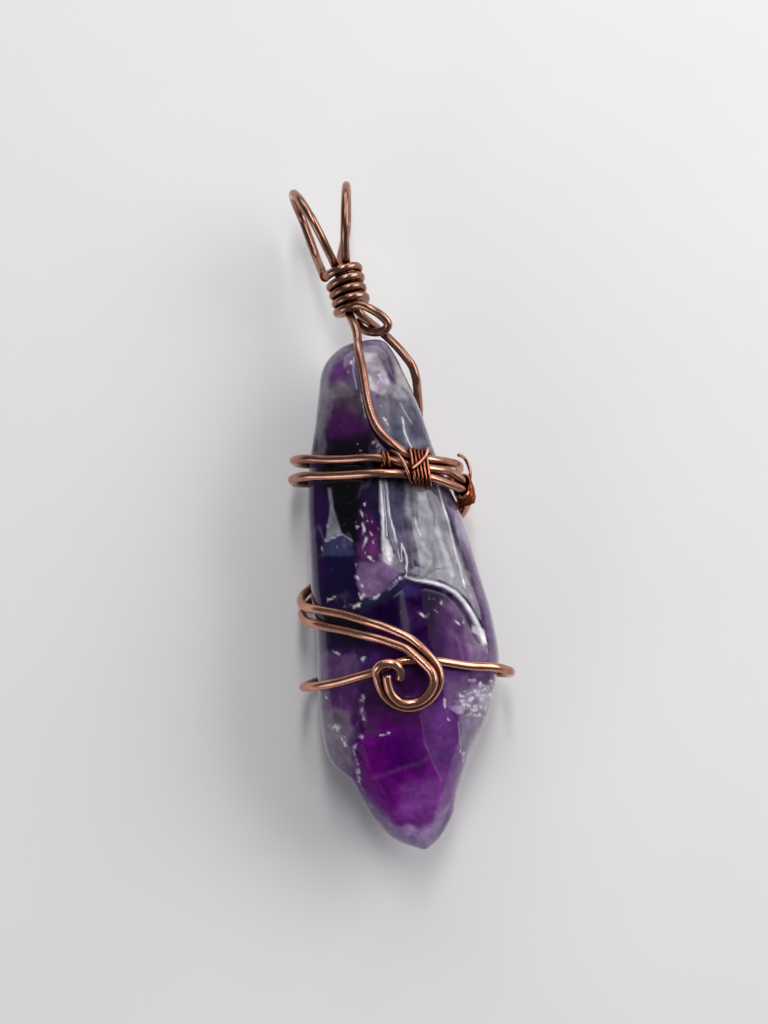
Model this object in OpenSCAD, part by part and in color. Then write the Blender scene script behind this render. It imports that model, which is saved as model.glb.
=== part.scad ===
// Crystal point pendant: a tumbled amethyst point held in bent copper wire, lying on its back.
// The crown and the bail point along +Y, the front face looks up along +Z and the floor is z = 0.
// All lengths are in millimetres and all angles in degrees.

/* [Crystal] */
// Length of the crystal from its tip to its crown
stone_length = 46.4; // [40:0.2:54]
// Width of the crystal at its widest
stone_width = 16.2; // [14:0.2:19]
// Thickness of the crystal from its back to its front
stone_depth = 11.6; // [10:0.2:14]
// Roundness of the front: 2 is an ellipse, more is squarer
front_squareness = 2.2; // [2:0.1:2.8]
// Squareness of the flatter back
back_squareness = 3; // [2.4:0.1:4]
// Softness of the edges between the polished faces
face_softness = 0.22; // [0.1:0.01:0.4]

/* [Wire] */
// Thickness of the main wire
wire_d = 0.8; // [0.6:0.05:0.9]
// Thickness of the binding wire
fine_d = 0.3; // [0.2:0.02:0.36]
// Play between two wires that touch, and between a wire and the crystal
play = 0.06; // [0.04:0.01:0.1]

/* [Bail and neck] */
// Length of the bail above the neck, to the outside of its taller loop
bail_length = 8.4; // [7.6:0.1:11]
// Depth of the bail's loops from front to back, outside
bail_depth = 7.8; // [7:0.1:9]
// Lean of the left loop away from the neck's line
left_lean = 23; // [18:0.5:30]
// Lean of the right loop away from the neck's line
right_lean = 7; // [0:1:14]
// Turns of wire wound round the neck
neck_turns = 4.25; // [3.25:1:6.25]
// Clear space between the crown and the neck
neck_rise = 2.95; // [2.4:0.05:4]
// Place of the neck left of the crystal's axis
neck_offset = 1.35; // [0.8:0.05:2]
// Lean of the neck to the left
neck_lean = 9; // [0:1:15]

/* [Bands] */
// Height of the lower band on the crystal, as a share of its length
band_along = 0.703; // [0.68:0.001:0.72]
// Slope of the bands: their rise at the left and drop at the right
band_tilt = 1.2; // [0.4:0.05:1.6]
// Spread between the two bands at the left
band_spread = 1.44; // [1:0.02:1.7]
// Wraps of the front binding
front_wraps = 5; // [3:1:6]
// Wraps of the side binding
side_wraps = 6; // [3:1:7]

/* [Swirl] */
// Radius of the swirl, to the outer wire's centre
swirl_radius = 2.35; // [2.2:0.05:2.7]
// Radius of the small hook at the swirl's end
hook_radius = 0.88; // [0.84:0.02:1.1]
// Place of the swirl along the crystal, as a share of its length
swirl_along = 0.311; // [0.3:0.001:0.33]

/* [Hidden] */

// Shape of the crystal, one section across it per row: place from tip to crown as a share of its length,
// reach left and right of the axis as shares of its width, and rise to the front and drop to the back
// from its widest line as shares of its depth
ALONG = 0;
LEFT = 1;
RIGHT = 2;
FRONT = 3;
BACK = 4;
SECTIONS = [
    [0.000, 0.012, 0.012, 0.02, 0.02],
    [0.012, 0.100, 0.068, 0.12, 0.10],
    [0.030, 0.180, 0.118, 0.20, 0.16],
    [0.060, 0.250, 0.172, 0.28, 0.22],
    [0.100, 0.311, 0.207, 0.35, 0.29],
    [0.145, 0.370, 0.266, 0.42, 0.36],
    [0.170, 0.441, 0.302, 0.45, 0.39],
    [0.200, 0.480, 0.353, 0.48, 0.42],
    [0.250, 0.496, 0.434, 0.52, 0.45],
    [0.300, 0.497, 0.481, 0.55, 0.45],
    [0.345, 0.490, 0.516, 0.55, 0.45],
    [0.420, 0.478, 0.507, 0.55, 0.45],
    [0.500, 0.478, 0.469, 0.54, 0.45],
    [0.600, 0.464, 0.417, 0.51, 0.45],
    [0.680, 0.454, 0.358, 0.47, 0.45],
    [0.760, 0.420, 0.290, 0.43, 0.45],
    [0.840, 0.364, 0.238, 0.38, 0.42],
    [0.900, 0.329, 0.191, 0.33, 0.36],
    [0.950, 0.293, 0.145, 0.27, 0.29],
    [0.980, 0.222, 0.105, 0.20, 0.20],
    [0.995, 0.136, 0.068, 0.12, 0.11],
    [1.000, 0.020, 0.020, 0.02, 0.02],
];
// Polished faces that flatten it: turn round the axis that the face looks to, lean of the face
// towards the tip, and how much it takes off as a share of the depth
FACE_TURN = 0;
FACE_LEAN = 1;
FACE_CUT = 2;
FACES = [
    [270, 0, 0.030],
    [58, -3, 0.060],
    [124, -4, 0.065],
    [88, -14, 0.035],
    [95, 22, 0.060],
    [40, 34, 0.050],
    [140, 30, 0.050],
    [232, -4, 0.040],
    [308, 4, 0.045],
];
back_cut = FACES[0][FACE_CUT] * stone_depth;
// Hollows worn in its front: turn, place along, radius and depth as shares of the stone's depth
DENT_RADIUS = 2;
DENT_DEPTH = 3;
DENTS = [
    [95, 0.545, 0.15, 0.030],
    [112, 0.610, 0.16, 0.022],
    [46, 0.270, 0.15, 0.020],
    [70, 0.600, 0.18, 0.016],
];
// Rings along the crystal and points round each ring
stone_rings = 46;
stone_sides = 44;

// Sides of a wire, and distance between two rings of its mesh
wire_sides = 6;
fine_sides = 5;
wire_step = 1.1;
fine_step = 0.55;

// Places that the pieces share: the crystal's axis, its tip, and its widest line above the floor
axis_x = 0.007 * stone_width;
neck_pitch = 1.06 * (wire_d + play);
neck_length = neck_turns * neck_pitch;
whole_length = stone_length + neck_rise + neck_length + bail_length;
tip_y = -whole_length / 2;
edge_z = wire_d + 1.4 * play + SECTIONS[10][BACK] * stone_depth - back_cut;
neck_z = edge_z + wire_d / 2;
neck_foot = [axis_x - neck_offset, tip_y + stone_length + neck_rise, neck_z];
neck_top = neck_foot + neck_length * [-tan(neck_lean), 1, 0];

// Smooth value of one column of SECTIONS at a place along the crystal
function section_row(a, i = 0) =
    i >= len(SECTIONS) - 2 || a < SECTIONS[i + 1][ALONG] ? i : section_row(a, i + 1);
function section_slope(i, col) =
    let (lo = max(i - 1, 0), hi = min(i + 1, len(SECTIONS) - 1))
    (SECTIONS[hi][col] - SECTIONS[lo][col]) / (SECTIONS[hi][ALONG] - SECTIONS[lo][ALONG]);
function section(col, a) =
    let (
        i = section_row(a),
        h = SECTIONS[i + 1][ALONG] - SECTIONS[i][ALONG],
        t = (a - SECTIONS[i][ALONG]) / h
    )
    (2 * t ^ 3 - 3 * t ^ 2 + 1) * SECTIONS[i][col]
    + (t ^ 3 - 2 * t ^ 2 + t) * h * section_slope(i, col)
    + (3 * t ^ 2 - 2 * t ^ 3) * SECTIONS[i + 1][col]
    + (t ^ 3 - t ^ 2) * h * section_slope(i + 1, col);

// Point of the rough stone. Its turn is 0 at the right edge, 90 in front, 180 at the left, 270 behind
function part_of(v, squareness) = sign(v) * abs(v) ^ (2 / squareness);
function rough(turn, a) =
    let (
        squareness = sin(turn) >= 0 ? front_squareness : back_squareness,
        wide = section(cos(turn) >= 0 ? RIGHT : LEFT, a) * stone_width,
        tall = section(sin(turn) >= 0 ? FRONT : BACK, a) * stone_depth
    )
    [axis_x + wide * part_of(cos(turn), squareness),
        tip_y + a * stone_length,
        edge_z + tall * part_of(sin(turn), squareness)];

// Each polished face as the direction that it looks in and its distance from the origin
function unit(v) = v / norm(v);
ROUGH_POINTS = [for (a = [0.02:0.04:0.98], turn = [0:12:348]) rough(turn, a)];
PLANES = [for (f = FACES)
    let (
        turn = f[FACE_TURN],
        lean = f[FACE_LEAN],
        out = [cos(turn) * cos(lean), -sin(lean), sin(turn) * cos(lean)]
    )
    [out, max([for (p = ROUGH_POINTS) p * out]) - f[FACE_CUT] * stone_depth]];
function soft(d) = d > 12 * face_softness ? d : face_softness * ln(1 + exp(d / face_softness));
function polish(p, i = 0) =
    i == len(PLANES) ? p : polish(p - PLANES[i][0] * soft(p * PLANES[i][0] - PLANES[i][1]), i + 1);

// Point of the polished stone, and the direction straight out of it there
function skin(turn, a) = polish(rough(turn, a));
function outward(turn, a) =
    let (e = 0.6, h = 0.002)
    unit(cross(skin(turn, a + h) - skin(turn, a - h), skin(turn + e, a) - skin(turn - e, a)));

// Distance from the skin to a wire's centre, for clear air below it counted in wires
function lift(air) = wire_d / 2 + play + max(air, 0) * (wire_d + play);
// A wire's centre from a row of turn, place along and air
function over(row) = skin(row[0], row[1]) + lift(row[2]) * outward(row[0], row[1]);

// Turn on the front of the crystal at a distance right of the axis
function front_turn(x, a) =
    let (
        share = min(abs(x) / (section(x < 0 ? LEFT : RIGHT, a) * stone_width), 1),
        turn = acos(share ^ (front_squareness / 2))
    )
    x < 0 ? 180 - turn : turn;

// Curve through rows of numbers: the same number of stops in each stretch, or one count per stretch
function between(a, b, c, d, t) =
    0.5 * (2 * b + (c - a) * t + (2 * a - 5 * b + 4 * c - d) * t ^ 2 + (3 * b - a - 3 * c + d) * t ^ 3);
function through(rows, stops) =
    let (last = len(rows) - 1)
    concat(
        [for (i = [0:last - 1], k = [0:stops[i] - 1])
            between(rows[max(i - 1, 0)], rows[i], rows[i + 1], rows[min(i + 2, last)], k / stops[i])],
        [rows[last]]);
function stops_for(points, step) =
    [for (i = [0:len(points) - 2]) max(1, round(norm(points[i + 1] - points[i]) / step))];
// A wire's centre line over the skin through rows of turn, place along and air
function laid(rows, step = wire_step) =
    [for (row = through(rows, stops_for([for (r = rows) over(r)], step))) over(row)];
// A wire's centre line through free points
function bent(points, step = wire_step) = through(points, stops_for(points, step));

// Directions across a path, carried along it without twist
function heading(path, i) = unit(path[min(i + 1, len(path) - 1)] - path[max(i - 1, 0)]);
function level(v, h) = unit(v - (v * h) * h);
function first_across(h) = level(abs(h[2]) < 0.8 ? [0, 0, 1] : [1, 0, 0], h);
function across(path) =
    [for (i = 0, v = first_across(heading(path, 0)); i < len(path);
        i = i + 1, v = i < len(path) ? level(v, heading(path, i)) : v) v];

// Round wire of diameter d along a path, cut square at both ends
module wire(path, d, sides) {
    n = len(path);
    sideways = across(path);
    rings = [for (i = [0:n - 1], k = [0:sides - 1])
        let (h = heading(path, i), u = sideways[i], v = cross(h, u), turn = 360 * k / sides)
        path[i] + d / 2 * (cos(turn) * u + sin(turn) * v)];
    skin_faces = [for (i = [0:n - 2], k = [0:sides - 1])
        let (a = i * sides + k, b = i * sides + (k + 1) % sides)
        each [[a, a + sides, b], [b, a + sides, b + sides]]];
    ends = [[for (k = [0:sides - 1]) k], [for (k = [sides - 1:-1:0]) (n - 1) * sides + k]];
    polyhedron(rings, concat(skin_faces, ends), convexity = 10);
}

module main_wire(path) {
    color([0.72, 0.43, 0.33]) wire(path, wire_d, wire_sides);
}

module fine_wire(path) {
    color([0.80, 0.52, 0.40]) wire(path, fine_d, fine_sides);
}

// A path that starts through free points and goes on over the skin
function led_in(points, path, step = wire_step) =
    let (lead = bent(concat(points, [path[0], path[1]]), step), join = 1.02 * norm(path[0] - path[1]))
    concat([for (i = [0:len(lead) - 2]) if (norm(lead[i] - path[1]) > join) lead[i]], path);

// Point a length along a path from its start, or before it
function point_at(path, s, i = 0) =
    let (stretch = norm(path[i + 1] - path[i]))
    s <= stretch || i >= len(path) - 2
        ? path[i] + s * unit(path[i + 1] - path[i])
        : point_at(path, s - stretch, i + 1);

// Bands: both wires wind round the crystal, touching at the right and spread at the left.
// A band row is a turn and how far the wire rises above the lower band there, in millimetres
tight = 1.05 * (wire_d + play);
// Clear air under the bands, in wires, by turn
BAND_AIR = [[0, 1.3], [16, 1.2], [32, 0.8], [50, 0.5], [75, 0.5], [92, 0.5], [102, 0.15], [112, 0], [125, 0],
    [142, 0.35], [160, 1.0], [180, 1.15], [205, 0.9], [232, 0.2], [250, 0], [285, 0], [312, 0.4], [340, 1.1],
    [360, 1.3]];
function round_turn(turn) = (turn % 360 + 360) % 360;
function band_row(turn, raise) =
    [turn, band_along + (raise - band_tilt * cos(turn)) / stone_length, lookup(round_turn(turn), BAND_AIR)];
// Rise of each wire above the lower band, by turn
WRAP_RAISE = [[-180, 0], [-150, 0.5 * band_spread], [-110, 0.65 * band_spread], [0, 2 * tight],
    [90, 2 * tight]];
SIDE_RAISE = [[-284, tight], [-267, 0.97 * band_spread], [-225, band_spread], [-180, 1.2 * band_spread],
    [-150, 1.7 * band_spread], [-120, 1.85 * band_spread], [-88, 2.2 * band_spread],
    [-68, 2.9 * band_spread]];

// Neck: three legs of wire side by side, wound round with a coil
core_r = (wire_d + play / 2) / sqrt(3);
coil_r = core_r + wire_d + play;
// Extra radius of the coil by turn, wide at the start where the left loop's leg joins it, and how far each
// turn rises from left to right, both in wires
COIL_EXTRA = [[0, 0.3], [0.8, 0.07], [1.4, 0.14], [2.2, 0], [3.2, 0.02], [3.9, 0.16], [4.25, 0.08]];
COIL_SLOPE = [[0, 0.6], [1, 0.75], [2, 0.62], [3, 0.5], [4.25, 0.4]];
function neck_at(share) = neck_foot + share * (neck_top - neck_foot);
function leg_at(turn, share) = neck_at(share) + core_r * [cos(turn), 0, sin(turn)];
function coil_at(turns) =
    let (turn = 180 - 360 * turns, r = coil_r + wire_d * lookup(turns, COIL_EXTRA))
    neck_at(1 - turns / neck_turns)
    + [r * cos(turn), wire_d * lookup(turns, COIL_SLOPE) * cos(turn), r * sin(turn)];
left_leg = 150;
right_leg = 30;
rear_leg = 270;
leg_end = 0.5;

// Bail: each loop is an arc in an upright plane that leans from the neck
loop_r = (bail_depth - wire_d) / 2;
loop_reach = bail_length - wire_d / 2;
left_set = -0.55;
right_set = 0.25;
left_short = 0.3;
function loop_at(turn, reach, lean, set) =
    let (along = reach - loop_r + loop_r * cos(turn))
    neck_top + [set - along * tan(lean), along, loop_r * sin(turn)];
// Where the loops' back legs bend in to the neck: places right, up and forward of its top
LEFT_BEND = [[-2.25, 2.2, -2.4], [-2.03, 1.1, -1.45], [-1.8, 0.15, -0.5]];
REAR_BEND = [[0.15, 2.5, -2.5], [-0.05, 1.2, -1.45]];

function left_loop_path() = bent(concat(
    [leg_at(left_leg, leg_end), leg_at(left_leg, 0.75), leg_at(left_leg, 1)],
    [for (turn = [140:-28:-56]) loop_at(turn, loop_reach - left_short, left_lean, left_set)],
    [for (p = LEFT_BEND) neck_top + p],
    [for (back = [0.4, play]) coil_at(0) - back * unit(coil_at(0.0833) - coil_at(0))]));
function right_loop_path() = bent(concat(
    [leg_at(right_leg, leg_end), leg_at(right_leg, 0.75), leg_at(right_leg, 1)],
    [for (turn = [140:-28:-84]) loop_at(turn, loop_reach, -right_lean, right_set)],
    [for (p = REAR_BEND) neck_top + p],
    [leg_at(rear_leg, 1), leg_at(rear_leg, 0.75), leg_at(rear_leg, leg_end)]));

// The coil's tail bends into a small eye round the side wire: places right, up and forward of the neck's foot
EYE = [[0.6, 0.0, 1.7], [1.3, -0.4, 1.95], [2.1, -0.95, 1.95], [2.8, -1.6, 1.75], [3.05, -2.1, 1.5],
    [2.7, -2.5, 1.2], [2.0, -2.55, 0.92], [1.35, -2.35, 0.55], [0.78, -1.95, 0.0], [0.48, -1.4, -0.6],
    [0.5, -0.8, -0.9]];
function neck_coil_path() = bent(concat(
    [for (turns = [0:0.0833:neck_turns]) coil_at(turns)],
    [for (p = EYE) neck_foot + p]), 0.8);

// Wrap wire: out of the neck, down over the crown, right round the crystal, and along the front as the
// lower band
CROWN_LEAD = [[-0.33, -0.65, 0.6], [-0.14, -1.35, 1.1], [0.06, -2.2, 1.6]];
FRONT_RUN = [[109, 0.986, 0.1], [102, 0.945, 0], [99.5, 0.9, 0], [98, 0.858, 0], [94.5, 0.816, 0],
    [89.5, 0.782, 0.15], [81, 0.757, 0.4]];
function wrap_wire_path() =
    led_in(
        concat([leg_at(left_leg, leg_end - 0.02), leg_at(left_leg, 0.25), leg_at(left_leg, 0)],
            [for (p = CROWN_LEAD) neck_foot + p]),
        up_to(laid(concat(FRONT_RUN, [for (turn = [70:-20:-310]) band_row(turn, lookup(turn, WRAP_RAISE))])),
            inner_path()));

// Side wire: out of the neck through the eye, over the shoulder, across the back, and along the front as the
// upper band
SHOULDER_LEAD = [[0.7, -0.6, 0.1], [1.35, -1.25, 0.1], [2.2, -2.15, 0.1], [3.05, -3.1, 0.15],
    [3.9, -4.2, 0.15], [4.5, -5.2, 0.1]];
EDGE_RUN = [[5, 0.932, 0.57], [0, 0.908, 0.4], [-11, 0.885, 0.12], [-25, 0.862, 0], [-44, 0.83, 0]];
function side_wire_path() =
    led_in(
        concat([leg_at(right_leg, leg_end - 0.02), leg_at(right_leg, 0.25), leg_at(right_leg, 0)],
            [for (p = SHOULDER_LEAD) neck_foot + p]),
        up_to(laid(concat(EDGE_RUN, [for (turn = [-68:-20:-328]) band_row(turn, lookup(turn, SIDE_RAISE))])),
            outer_path()));
// A path that runs on to meet another one's start, end to end
function up_to(path, next) =
    let (ahead = unit(next[1] - next[0]))
    concat(path, [next[0] - 0.5 * ahead, next[0] - play * ahead]);

// Swirl: the outer wire leaves the side binding, crosses the back and comes round the left edge
SWIRL_RUN = [[17, 0.68, 1.0], [6, 0.672, 0.85], [-6, 0.667, 0.7], [-20, 0.662, 0.45], [-38, 0.652, 0.2],
    [-60, 0.633, 0], [-85, 0.606, 0], [-110, 0.578, 0], [-135, 0.552, 0.1], [-155, 0.529, 0.4],
    [-168, 0.513, 0.6], [-180, 0.497, 0.65], [-192, 0.48, 0.4], [-213, 0.463, 0.2], [-232, 0.448, 0.2],
    [-246, 0.432, 0.3], [-258, 0.416, 0.45], [-267, 0.399, 0.6], [-274, 0.378, 0.85]];
// Clear air under the swirl and the hook, in wires, by turn in the plane of the front
SWIRL_AIR = [[-180, 1.1], [-160, 0.6], [-135, 0.1], [-110, 0], [-70, 0], [-45, 0.25], [-25, 0.6], [-5, 1.0],
    [45, 1.05]];
HOOK_AIR = [[-30, 1.0], [0, 1.35], [20, 1.75], [45, 2.05], [90, 2.1], [135, 2.1], [180, 1.3]];
hook_rise = 0.5;
function plan_row(x, y, air) =
    let (a = (y - tip_y) / stone_length)
    [front_turn(x, a) - 360, a, air];
swirl_y = tip_y + swirl_along * stone_length;
function outer_rows() = concat(SWIRL_RUN,
    [for (turn = [35:-25:-165]) plan_row(swirl_radius * cos(turn), swirl_y + swirl_radius * sin(turn),
        lookup(turn, SWIRL_AIR))],
    [for (turn = [180:-30:-30]) plan_row(hook_radius - swirl_radius + hook_radius * cos(turn),
        swirl_y + hook_rise + hook_radius * sin(turn), lookup(turn, HOOK_AIR))]);
function outer_path() = laid(outer_rows(), 0.95);

// The inner wire lies beside the outer one, towards the tip: gap and rise in wires by share of its way
INNER_GAP = [[0, 1.0], [0.3, 1.05], [0.5, 1.35], [0.62, 1.6], [0.72, 1.3], [0.79, 1.05], [0.84, 1.0],
    [0.885, 0.6], [0.91, 0.35], [0.945, 0.35], [0.97, 0.85], [1, 1.1]];
INNER_RISE = [[0, 0], [0.06, 0.14], [0.17, 0.24], [0.24, 0.04], [0.3, -0.16], [0.34, -0.14], [0.4, 0],
    [0.77, 0], [0.82, 0.2], [0.885, 0.8], [0.91, 0.92], [0.945, 0.92], [0.97, 0.65], [1, 0.15]];
inner_stop = 0.87;
function inner_path() =
    let (rows = outer_rows(), path = laid(rows, 0.95), last = floor(len(path) * inner_stop))
    [for (i = [0:last])
        let (
            h = heading(path, i),
            up = level(path[i] - [axis_x, path[i][1], edge_z], h),
            gap = lookup(i / last, INNER_GAP),
            rise = lookup(i / last, INNER_RISE)
        )
        path[i] + (wire_d + play) * (gap * cross(h, up) + rise * up)];

// Cross wire: under the swirl and once round, its ends meeting behind
CROSS_RUN = [[262, 0.36, 0], [235, 0.358, 0.15], [205, 0.343, 0.75], [180, 0.329, 1.0], [165, 0.324, 0.85],
    [152, 0.322, 0.35], [134, 0.324, 0.05], [121, 0.328, 0], [110, 0.331, 0], [102, 0.338, 0], [93, 0.346, 0],
    [84, 0.344, 0], [71, 0.338, 0], [60, 0.332, 0], [46, 0.326, 0.25], [32, 0.324, 0.7], [18, 0.323, 0.9],
    [0, 0.324, 0.8], [-30, 0.33, 0.45], [-60, 0.344, 0.05], [-94, 0.36, 0]];

// One wrap of fine wire round a pair of wires: which of the two it rounds, and the turn about it
WRAP = [[1, -90], [1, -45], [1, 0], [1, 45], [1, 90], [0, 90], [-1, 90], [-1, 135], [-1, 180], [-1, 225],
    [-1, 270], [0, 270]];
wrap_r = 1.16 * (wire_d / 2 + play + fine_d / 2);
fine_pitch = fine_d + play / 2;
function wrap_point(a, b, up, j) =
    let (
        row = WRAP[j % len(WRAP)],
        side = unit(b - a),
        rise = level(up, side)
    )
    (a + b) / 2 + row[0] * (b - a) / 2 + wrap_r * (cos(row[1]) * side + sin(row[1]) * rise);

// Where a path crosses the front of the crystal at a distance right of the axis
function crossings(path, x) = [for (i = [0:len(path) - 2])
    let (a = path[i], b = path[i + 1], share = (axis_x + x - a[0]) / (b[0] - a[0]))
    if (share >= 0 && share < 1 && min(a[2], b[2]) > edge_z + 1) a + share * (b - a)];

// Front binding: a few turns round the upper band, a strand across, then wraps round all three wires
binding_x = 2.1;
knot_x = -0.3;
knot_wraps = 2.5;
STRAND = [[85, 0.742, 0.9], [81, 0.733, 1.4], [78, 0.716, 1.45], [76.5, 0.7, 1.35]];
function knot_path(side_path) =
    [for (j = [0:8 * knot_wraps])
        let (
            x = knot_x + fine_pitch * j / 8,
            hits = crossings(side_path, x),
            p = hits[len(hits) - 1],
            ahead = crossings(side_path, x + play),
            side = level([0, 1, 0], ahead[len(ahead) - 1] - p),
            turn = 45 * j + 180
        )
        p + wrap_r * (cos(turn) * side + [0, 0, sin(turn)])];
function front_wrap_path(wrap_path) =
    [for (j = [0:len(WRAP) * (front_wraps + 0.5) - 1])
        let (hits = crossings(wrap_path, binding_x + fine_pitch * j / len(WRAP)))
        wrap_point(hits[0], hits[len(hits) - 1], [0, 0, 1], len(WRAP) * 20 + 2 - j)];
// Its last strand crosses the wraps, from above them at the right to below them at the left: share of the
// way across in x, and share of the way from the upper wire to the lower one
LAST_STRAND = [[0, -0.35], [0.12, 0], [0.5, 0.45], [0.9, 0.85]];
function last_strand_path(wrap_path) =
    [for (row = LAST_STRAND)
        let (
            hits = crossings(wrap_path, binding_x + fine_pitch * (front_wraps + 0.4) * (1 - row[0])),
            a = hits[0],
            b = hits[len(hits) - 1]
        )
        a + row[1] * (b - a) + (wrap_r + 1.1 * fine_pitch) * level([0, 0, 1], unit(b - a))];
function front_binding_path() =
    let (wrap_path = wrap_wire_path())
    bent(concat(knot_path(side_wire_path()), [for (row = STRAND) over(row)], front_wrap_path(wrap_path),
        last_strand_path(wrap_path)), fine_step);

// Side binding: a strand over the end of the upper wire, then wraps round the two wires of the swirl
SIDE_STRAND = [[23, 0.727, 1.9], [17, 0.7235, 2.15], [12.5, 0.712, 2.2], [11.5, 0.697, 2.1]];
side_start = 0.35;
function side_wrap_path() =
    let (outer = outer_path(), inner = inner_path())
    [for (j = [0:len(WRAP) * side_wraps])
        let (
            s = fine_pitch * j / len(WRAP) - side_start,
            a = point_at(outer, s),
            b = point_at(inner, s),
            up = (a + b) / 2 - [axis_x, a[1], edge_z]
        )
        wrap_point(a, b, up, len(WRAP) * 20 + 3 - j)];
function side_binding_path() = bent(concat([for (row = SIDE_STRAND) over(row)], side_wrap_path()), fine_step);

module crystal() {
    stations = [for (k = [0:stone_rings]) (1 - cos(180 * k / stone_rings)) / 2];
    rings = [for (a = stations, k = [0:stone_sides - 1])
        let (turn = 360 * k / stone_sides, p = skin(turn, a), out = unit([p[0] - axis_x, 0, p[2] - edge_z]))
        p - out * stone_depth * dent(p)];
    sides = [for (i = [0:stone_rings - 1], k = [0:stone_sides - 1])
        let (a = i * stone_sides + k, b = i * stone_sides + (k + 1) % stone_sides)
        each [[a, b, a + stone_sides], [b, b + stone_sides, a + stone_sides]]];
    last = stone_rings * stone_sides;
    ends = [[for (k = [stone_sides - 1:-1:0]) k], [for (k = [0:stone_sides - 1]) last + k]];
    color([0.42, 0.22, 0.55]) polyhedron(rings, concat(sides, ends), convexity = 10);
}

// Depth of the hollows at a point, as a share of the stone's depth
DENT_CENTRES = [for (d = DENTS) skin(d[0], d[1])];
function dent(p, i = 0) =
    i == len(DENTS) ? 0
        : let (away = norm(p - DENT_CENTRES[i]) / (DENTS[i][DENT_RADIUS] * stone_depth))
            DENTS[i][DENT_DEPTH] * exp(-(away ^ 2)) + dent(p, i + 1);

module left_loop() {
    main_wire(left_loop_path());
}

module right_loop() {
    main_wire(right_loop_path());
}

module neck_coil() {
    main_wire(neck_coil_path());
}

module wrap_wire() {
    main_wire(wrap_wire_path());
}

module side_wire() {
    main_wire(side_wire_path());
}

module outer_swirl() {
    main_wire(outer_path());
}

module inner_swirl() {
    main_wire(inner_path());
}

module cross_wire() {
    main_wire(laid(CROSS_RUN));
}

module front_binding() {
    fine_wire(front_binding_path());
}

module side_binding() {
    fine_wire(side_binding_path());
}

crystal();
left_loop();
right_loop();
neck_coil();
wrap_wire();
side_wire();
outer_swirl();
inner_swirl();
cross_wire();
front_binding();
side_binding();
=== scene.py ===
# %% [markdown]
# # A wire-wrapped crystal point
#
# This lesson dresses a plain solid model of a pendant so that it looks like the real one. The real pendant is a
# tumbled amethyst point held in bent copper wire. Two fine bindings tie the wires together, and a coiled neck
# ends in two loops for a chain. It lies on its back on a table, so the camera looks almost straight down.
#
# The solid model is the frame. It is loaded first, its box is kept, and every new piece takes a solid's place.

import bpy
import numpy as np
from mathutils import Matrix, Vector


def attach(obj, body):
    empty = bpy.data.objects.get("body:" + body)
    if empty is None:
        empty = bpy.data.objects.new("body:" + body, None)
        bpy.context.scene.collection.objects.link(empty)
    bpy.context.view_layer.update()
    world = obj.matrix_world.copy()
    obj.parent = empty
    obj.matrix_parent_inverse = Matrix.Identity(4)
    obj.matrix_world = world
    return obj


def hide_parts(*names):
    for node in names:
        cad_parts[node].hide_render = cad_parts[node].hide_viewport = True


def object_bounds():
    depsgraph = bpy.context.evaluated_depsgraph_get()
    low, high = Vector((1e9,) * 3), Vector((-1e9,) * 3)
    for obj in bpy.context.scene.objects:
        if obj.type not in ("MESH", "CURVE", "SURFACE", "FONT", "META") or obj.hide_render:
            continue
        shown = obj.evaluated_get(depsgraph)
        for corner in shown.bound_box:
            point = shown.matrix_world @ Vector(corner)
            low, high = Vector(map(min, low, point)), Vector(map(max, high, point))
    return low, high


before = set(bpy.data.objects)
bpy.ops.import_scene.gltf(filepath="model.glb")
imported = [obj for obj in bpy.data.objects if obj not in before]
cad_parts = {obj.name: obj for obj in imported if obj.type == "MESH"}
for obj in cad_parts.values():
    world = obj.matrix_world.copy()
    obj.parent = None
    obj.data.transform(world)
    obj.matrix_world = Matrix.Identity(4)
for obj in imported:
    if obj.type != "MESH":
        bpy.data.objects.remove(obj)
cad_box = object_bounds()
MM = 0.001
LOW_CORNER, HIGH_CORNER = np.array([list(corner) for corner in cad_box]) / MM
print("Solids in the frame:", ", ".join(sorted(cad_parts)))

# %% [markdown]
# ## The shape of the stone as a formula
#
# A tumbled point has no flat face that a ruler would find, yet it still shows where the crystal's faces were. One
# could sculpt it. Here it is a function of two numbers instead: a turn round the stone, and a place along it from
# the tip (0) to the crown (1). Everything that touches the stone can then ask the same function where its skin is.
#
# Each section is a rounded box whose four reaches change along the stone. A row of their table holds a place along,
# then the reach to the left, right, front and back. A polished face is a turn, a lean and a cut. A dent is a turn, a
# place along, a radius and a depth.

# %% Sections of the stone
STONE_LENGTH, STONE_WIDTH, STONE_DEPTH = 46.4, 16.2, 11.6
FRONT_SQUARENESS, BACK_SQUARENESS, FACE_SOFTNESS = 2.2, 3.0, 0.22
WIRE, FINE, PLAY = 0.8, 0.3, 0.06
BAIL_LENGTH, BAIL_DEPTH, LEFT_LEAN, RIGHT_LEAN = 8.4, 7.8, 23.0, 7.0
NECK_TURNS, NECK_PITCH, NECK_RISE, NECK_OFFSET, NECK_LEAN = 4.25, 1.06, 2.95, 1.35, 9.0
BAND_ALONG, BAND_TILT, BAND_SPREAD = 0.703, 1.2, 1.44
FRONT_WRAPS, SIDE_WRAPS = 5, 6
SWIRL_RADIUS, HOOK_RADIUS, SWIRL_ALONG = 2.35, 0.88, 0.311

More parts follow.
